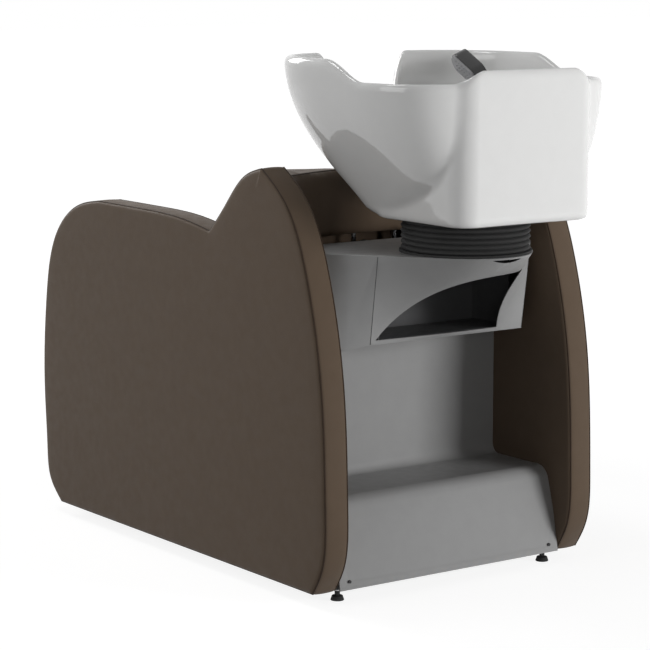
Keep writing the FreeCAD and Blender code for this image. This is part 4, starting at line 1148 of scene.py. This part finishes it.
@dataclass
class Studio:
    """Floor, light and camera."""

    camera_spot: Tuple[float, float, float] = (2.7348, 3.8020, 1.1688)
    forward: Tuple[float, float, float] = (-0.5750, -0.8037, -0.1532)
    lens: float = 131.8
    ambient: float = 0.11
    floor_glow: float = 0.86
    floor_grey: float = 0.3
    floor_rough: float = 0.8
    fade_start: float = 0.9
    fade_end: float = 2.2
    floor_half: float = 30.0

    def build(self) -> None:
        """Set up the whole studio."""
        self.world()
        self.floor()
        self.lamp("left", (3.6, -0.2, 2.0), 2.4, 35.0)
        self.lamp("right", (-2.2, 3.7, 0.8), 1.5, 116.0, mirrored=False)
        self.lamp("fill", (2.2, 4.4, 1.0), 1.4, 14.0, mirrored=False)
        self.lamp("top", (0.9, -0.9, 3.6), 0.9, 16.0)
        self.lamp("front", (0.8, -4.4, 2.4), 2.0, 60.0)
        self.camera()

    def world(self) -> None:
        """White to the camera and in reflections, soft light elsewhere."""
        world = bpy.data.worlds.new("studio")
        bpy.context.scene.world = world
        world.use_nodes = True
        tree = world.node_tree
        back = tree.nodes["Background"]
        back.inputs["Color"].default_value = (1, 1, 1, 1)
        level = tree.nodes.new("ShaderNodeMapRange")
        level.inputs["To Min"].default_value = self.ambient
        level.inputs["To Max"].default_value = 1.0
        tree.links.new(self.seen(tree), level.inputs["Value"])
        tree.links.new(level.outputs["Result"], back.inputs["Strength"])

    @staticmethod
    def seen(tree: bpy.types.NodeTree) -> bpy.types.NodeSocket:
        """One for rays that show the background to the camera, in metal or through glass.

        Args:
            tree: Node tree to add to.

        Returns:
            The value socket.
        """
        path = tree.nodes.new("ShaderNodeLightPath")
        value = path.outputs["Is Camera Ray"]
        for name in ("Is Glossy Ray", "Is Transmission Ray"):
            either = tree.nodes.new("ShaderNodeMath")
            either.operation = "MAXIMUM"
            tree.links.new(value, either.inputs[0])
            tree.links.new(path.outputs[name], either.inputs[1])
            value = either.outputs["Value"]
        return value

    def floor(self) -> None:
        """A white floor that keeps the unit's shadow and fades into the background."""
        size = self.floor_half
        made = bpy.data.materials.new("floor_white")
        made.use_nodes = True
        tree = made.node_tree
        bounce = tree.nodes["Principled BSDF"]
        bounce.inputs["Base Color"].default_value = (self.floor_grey, self.floor_grey, self.floor_grey, 1)
        bounce.inputs["Roughness"].default_value = self.floor_rough
        bounce.inputs["Specular IOR Level"].default_value = 0.0
        where = tree.nodes.new("ShaderNodeTexCoord")
        far = tree.nodes.new("ShaderNodeVectorMath")
        far.operation = "LENGTH"
        tree.links.new(where.outputs["Object"], far.inputs[0])
        fade = tree.nodes.new("ShaderNodeMapRange")
        fade.inputs["From Min"].default_value = self.fade_start
        fade.inputs["From Max"].default_value = self.fade_end
        fade.inputs["To Min"].default_value = self.floor_glow
        fade.inputs["To Max"].default_value = 1.0
        tree.links.new(far.outputs["Value"], fade.inputs["Value"])
        glow = tree.nodes.new("ShaderNodeEmission")
        tree.links.new(fade.outputs["Result"], glow.inputs["Strength"])
        both = tree.nodes.new("ShaderNodeAddShader")
        tree.links.new(glow.outputs["Emission"], both.inputs[0])
        tree.links.new(bounce.outputs["BSDF"], both.inputs[1])
        choice = tree.nodes.new("ShaderNodeMixShader")
        tree.links.new(self.seen(tree), choice.inputs["Fac"])
        tree.links.new(bounce.outputs["BSDF"], choice.inputs[1])
        tree.links.new(both.outputs["Shader"], choice.inputs[2])
        tree.links.new(choice.outputs["Shader"], tree.nodes["Material Output"].inputs["Surface"])
        mesh = bpy.data.meshes.new("floor")
        corners = [(-size, -size, 0), (size, -size, 0), (size, size, 0), (-size, size, 0)]
        mesh.from_pydata(corners, [], [(0, 1, 2, 3)])
        mesh.materials.append(made)
        flat = bpy.data.objects.new("floor", mesh)
        bpy.context.scene.collection.objects.link(flat)

    @staticmethod
    def lamp(name: str, spot: Tuple[float, float, float], size: float, power: float,
             mirrored: bool = True) -> None:
        """Add a square lamp aimed at the unit.

        Args:
            name: Name of the lamp.
            spot: Its place.
            size: Its side.
            power: Its power in watts.
            mirrored: Whether it shows in glossy surfaces.
        """
        data = bpy.data.lights.new(name, "AREA")
        data.size = size
        data.energy = power
        lamp = bpy.data.objects.new(name, data)
        lamp.location = spot
        lamp.visible_glossy = mirrored
        lamp.rotation_euler = (Vector((0, 0.1, 0.5)) - Vector(spot)).to_track_quat("-Z", "Y").to_euler()
        bpy.context.scene.collection.objects.link(lamp)

    def camera(self) -> None:
        """The photograph's camera."""
        data = bpy.data.cameras.new("camera")
        data.lens = self.lens
        data.sensor_width = 36.0
        camera = bpy.data.objects.new("camera", data)
        camera.location = self.camera_spot
        camera.rotation_euler = Vector(self.forward).to_track_quat("-Z", "Y").to_euler()
        bpy.context.scene.collection.objects.link(camera)
        bpy.context.scene.camera = camera
        bpy.context.scene.view_settings.view_transform = "Standard"


def main() -> None:
    """Build every sub-assembly and the studio."""
    for part in (SidePanels(), Seating(), RearShell(), Basin(), Bellows(), Taps(), Fittings(), Studio()):
        LOG.info("building %s", type(part).__name__)
        part.build()


if __name__ == "__main__":
    main()
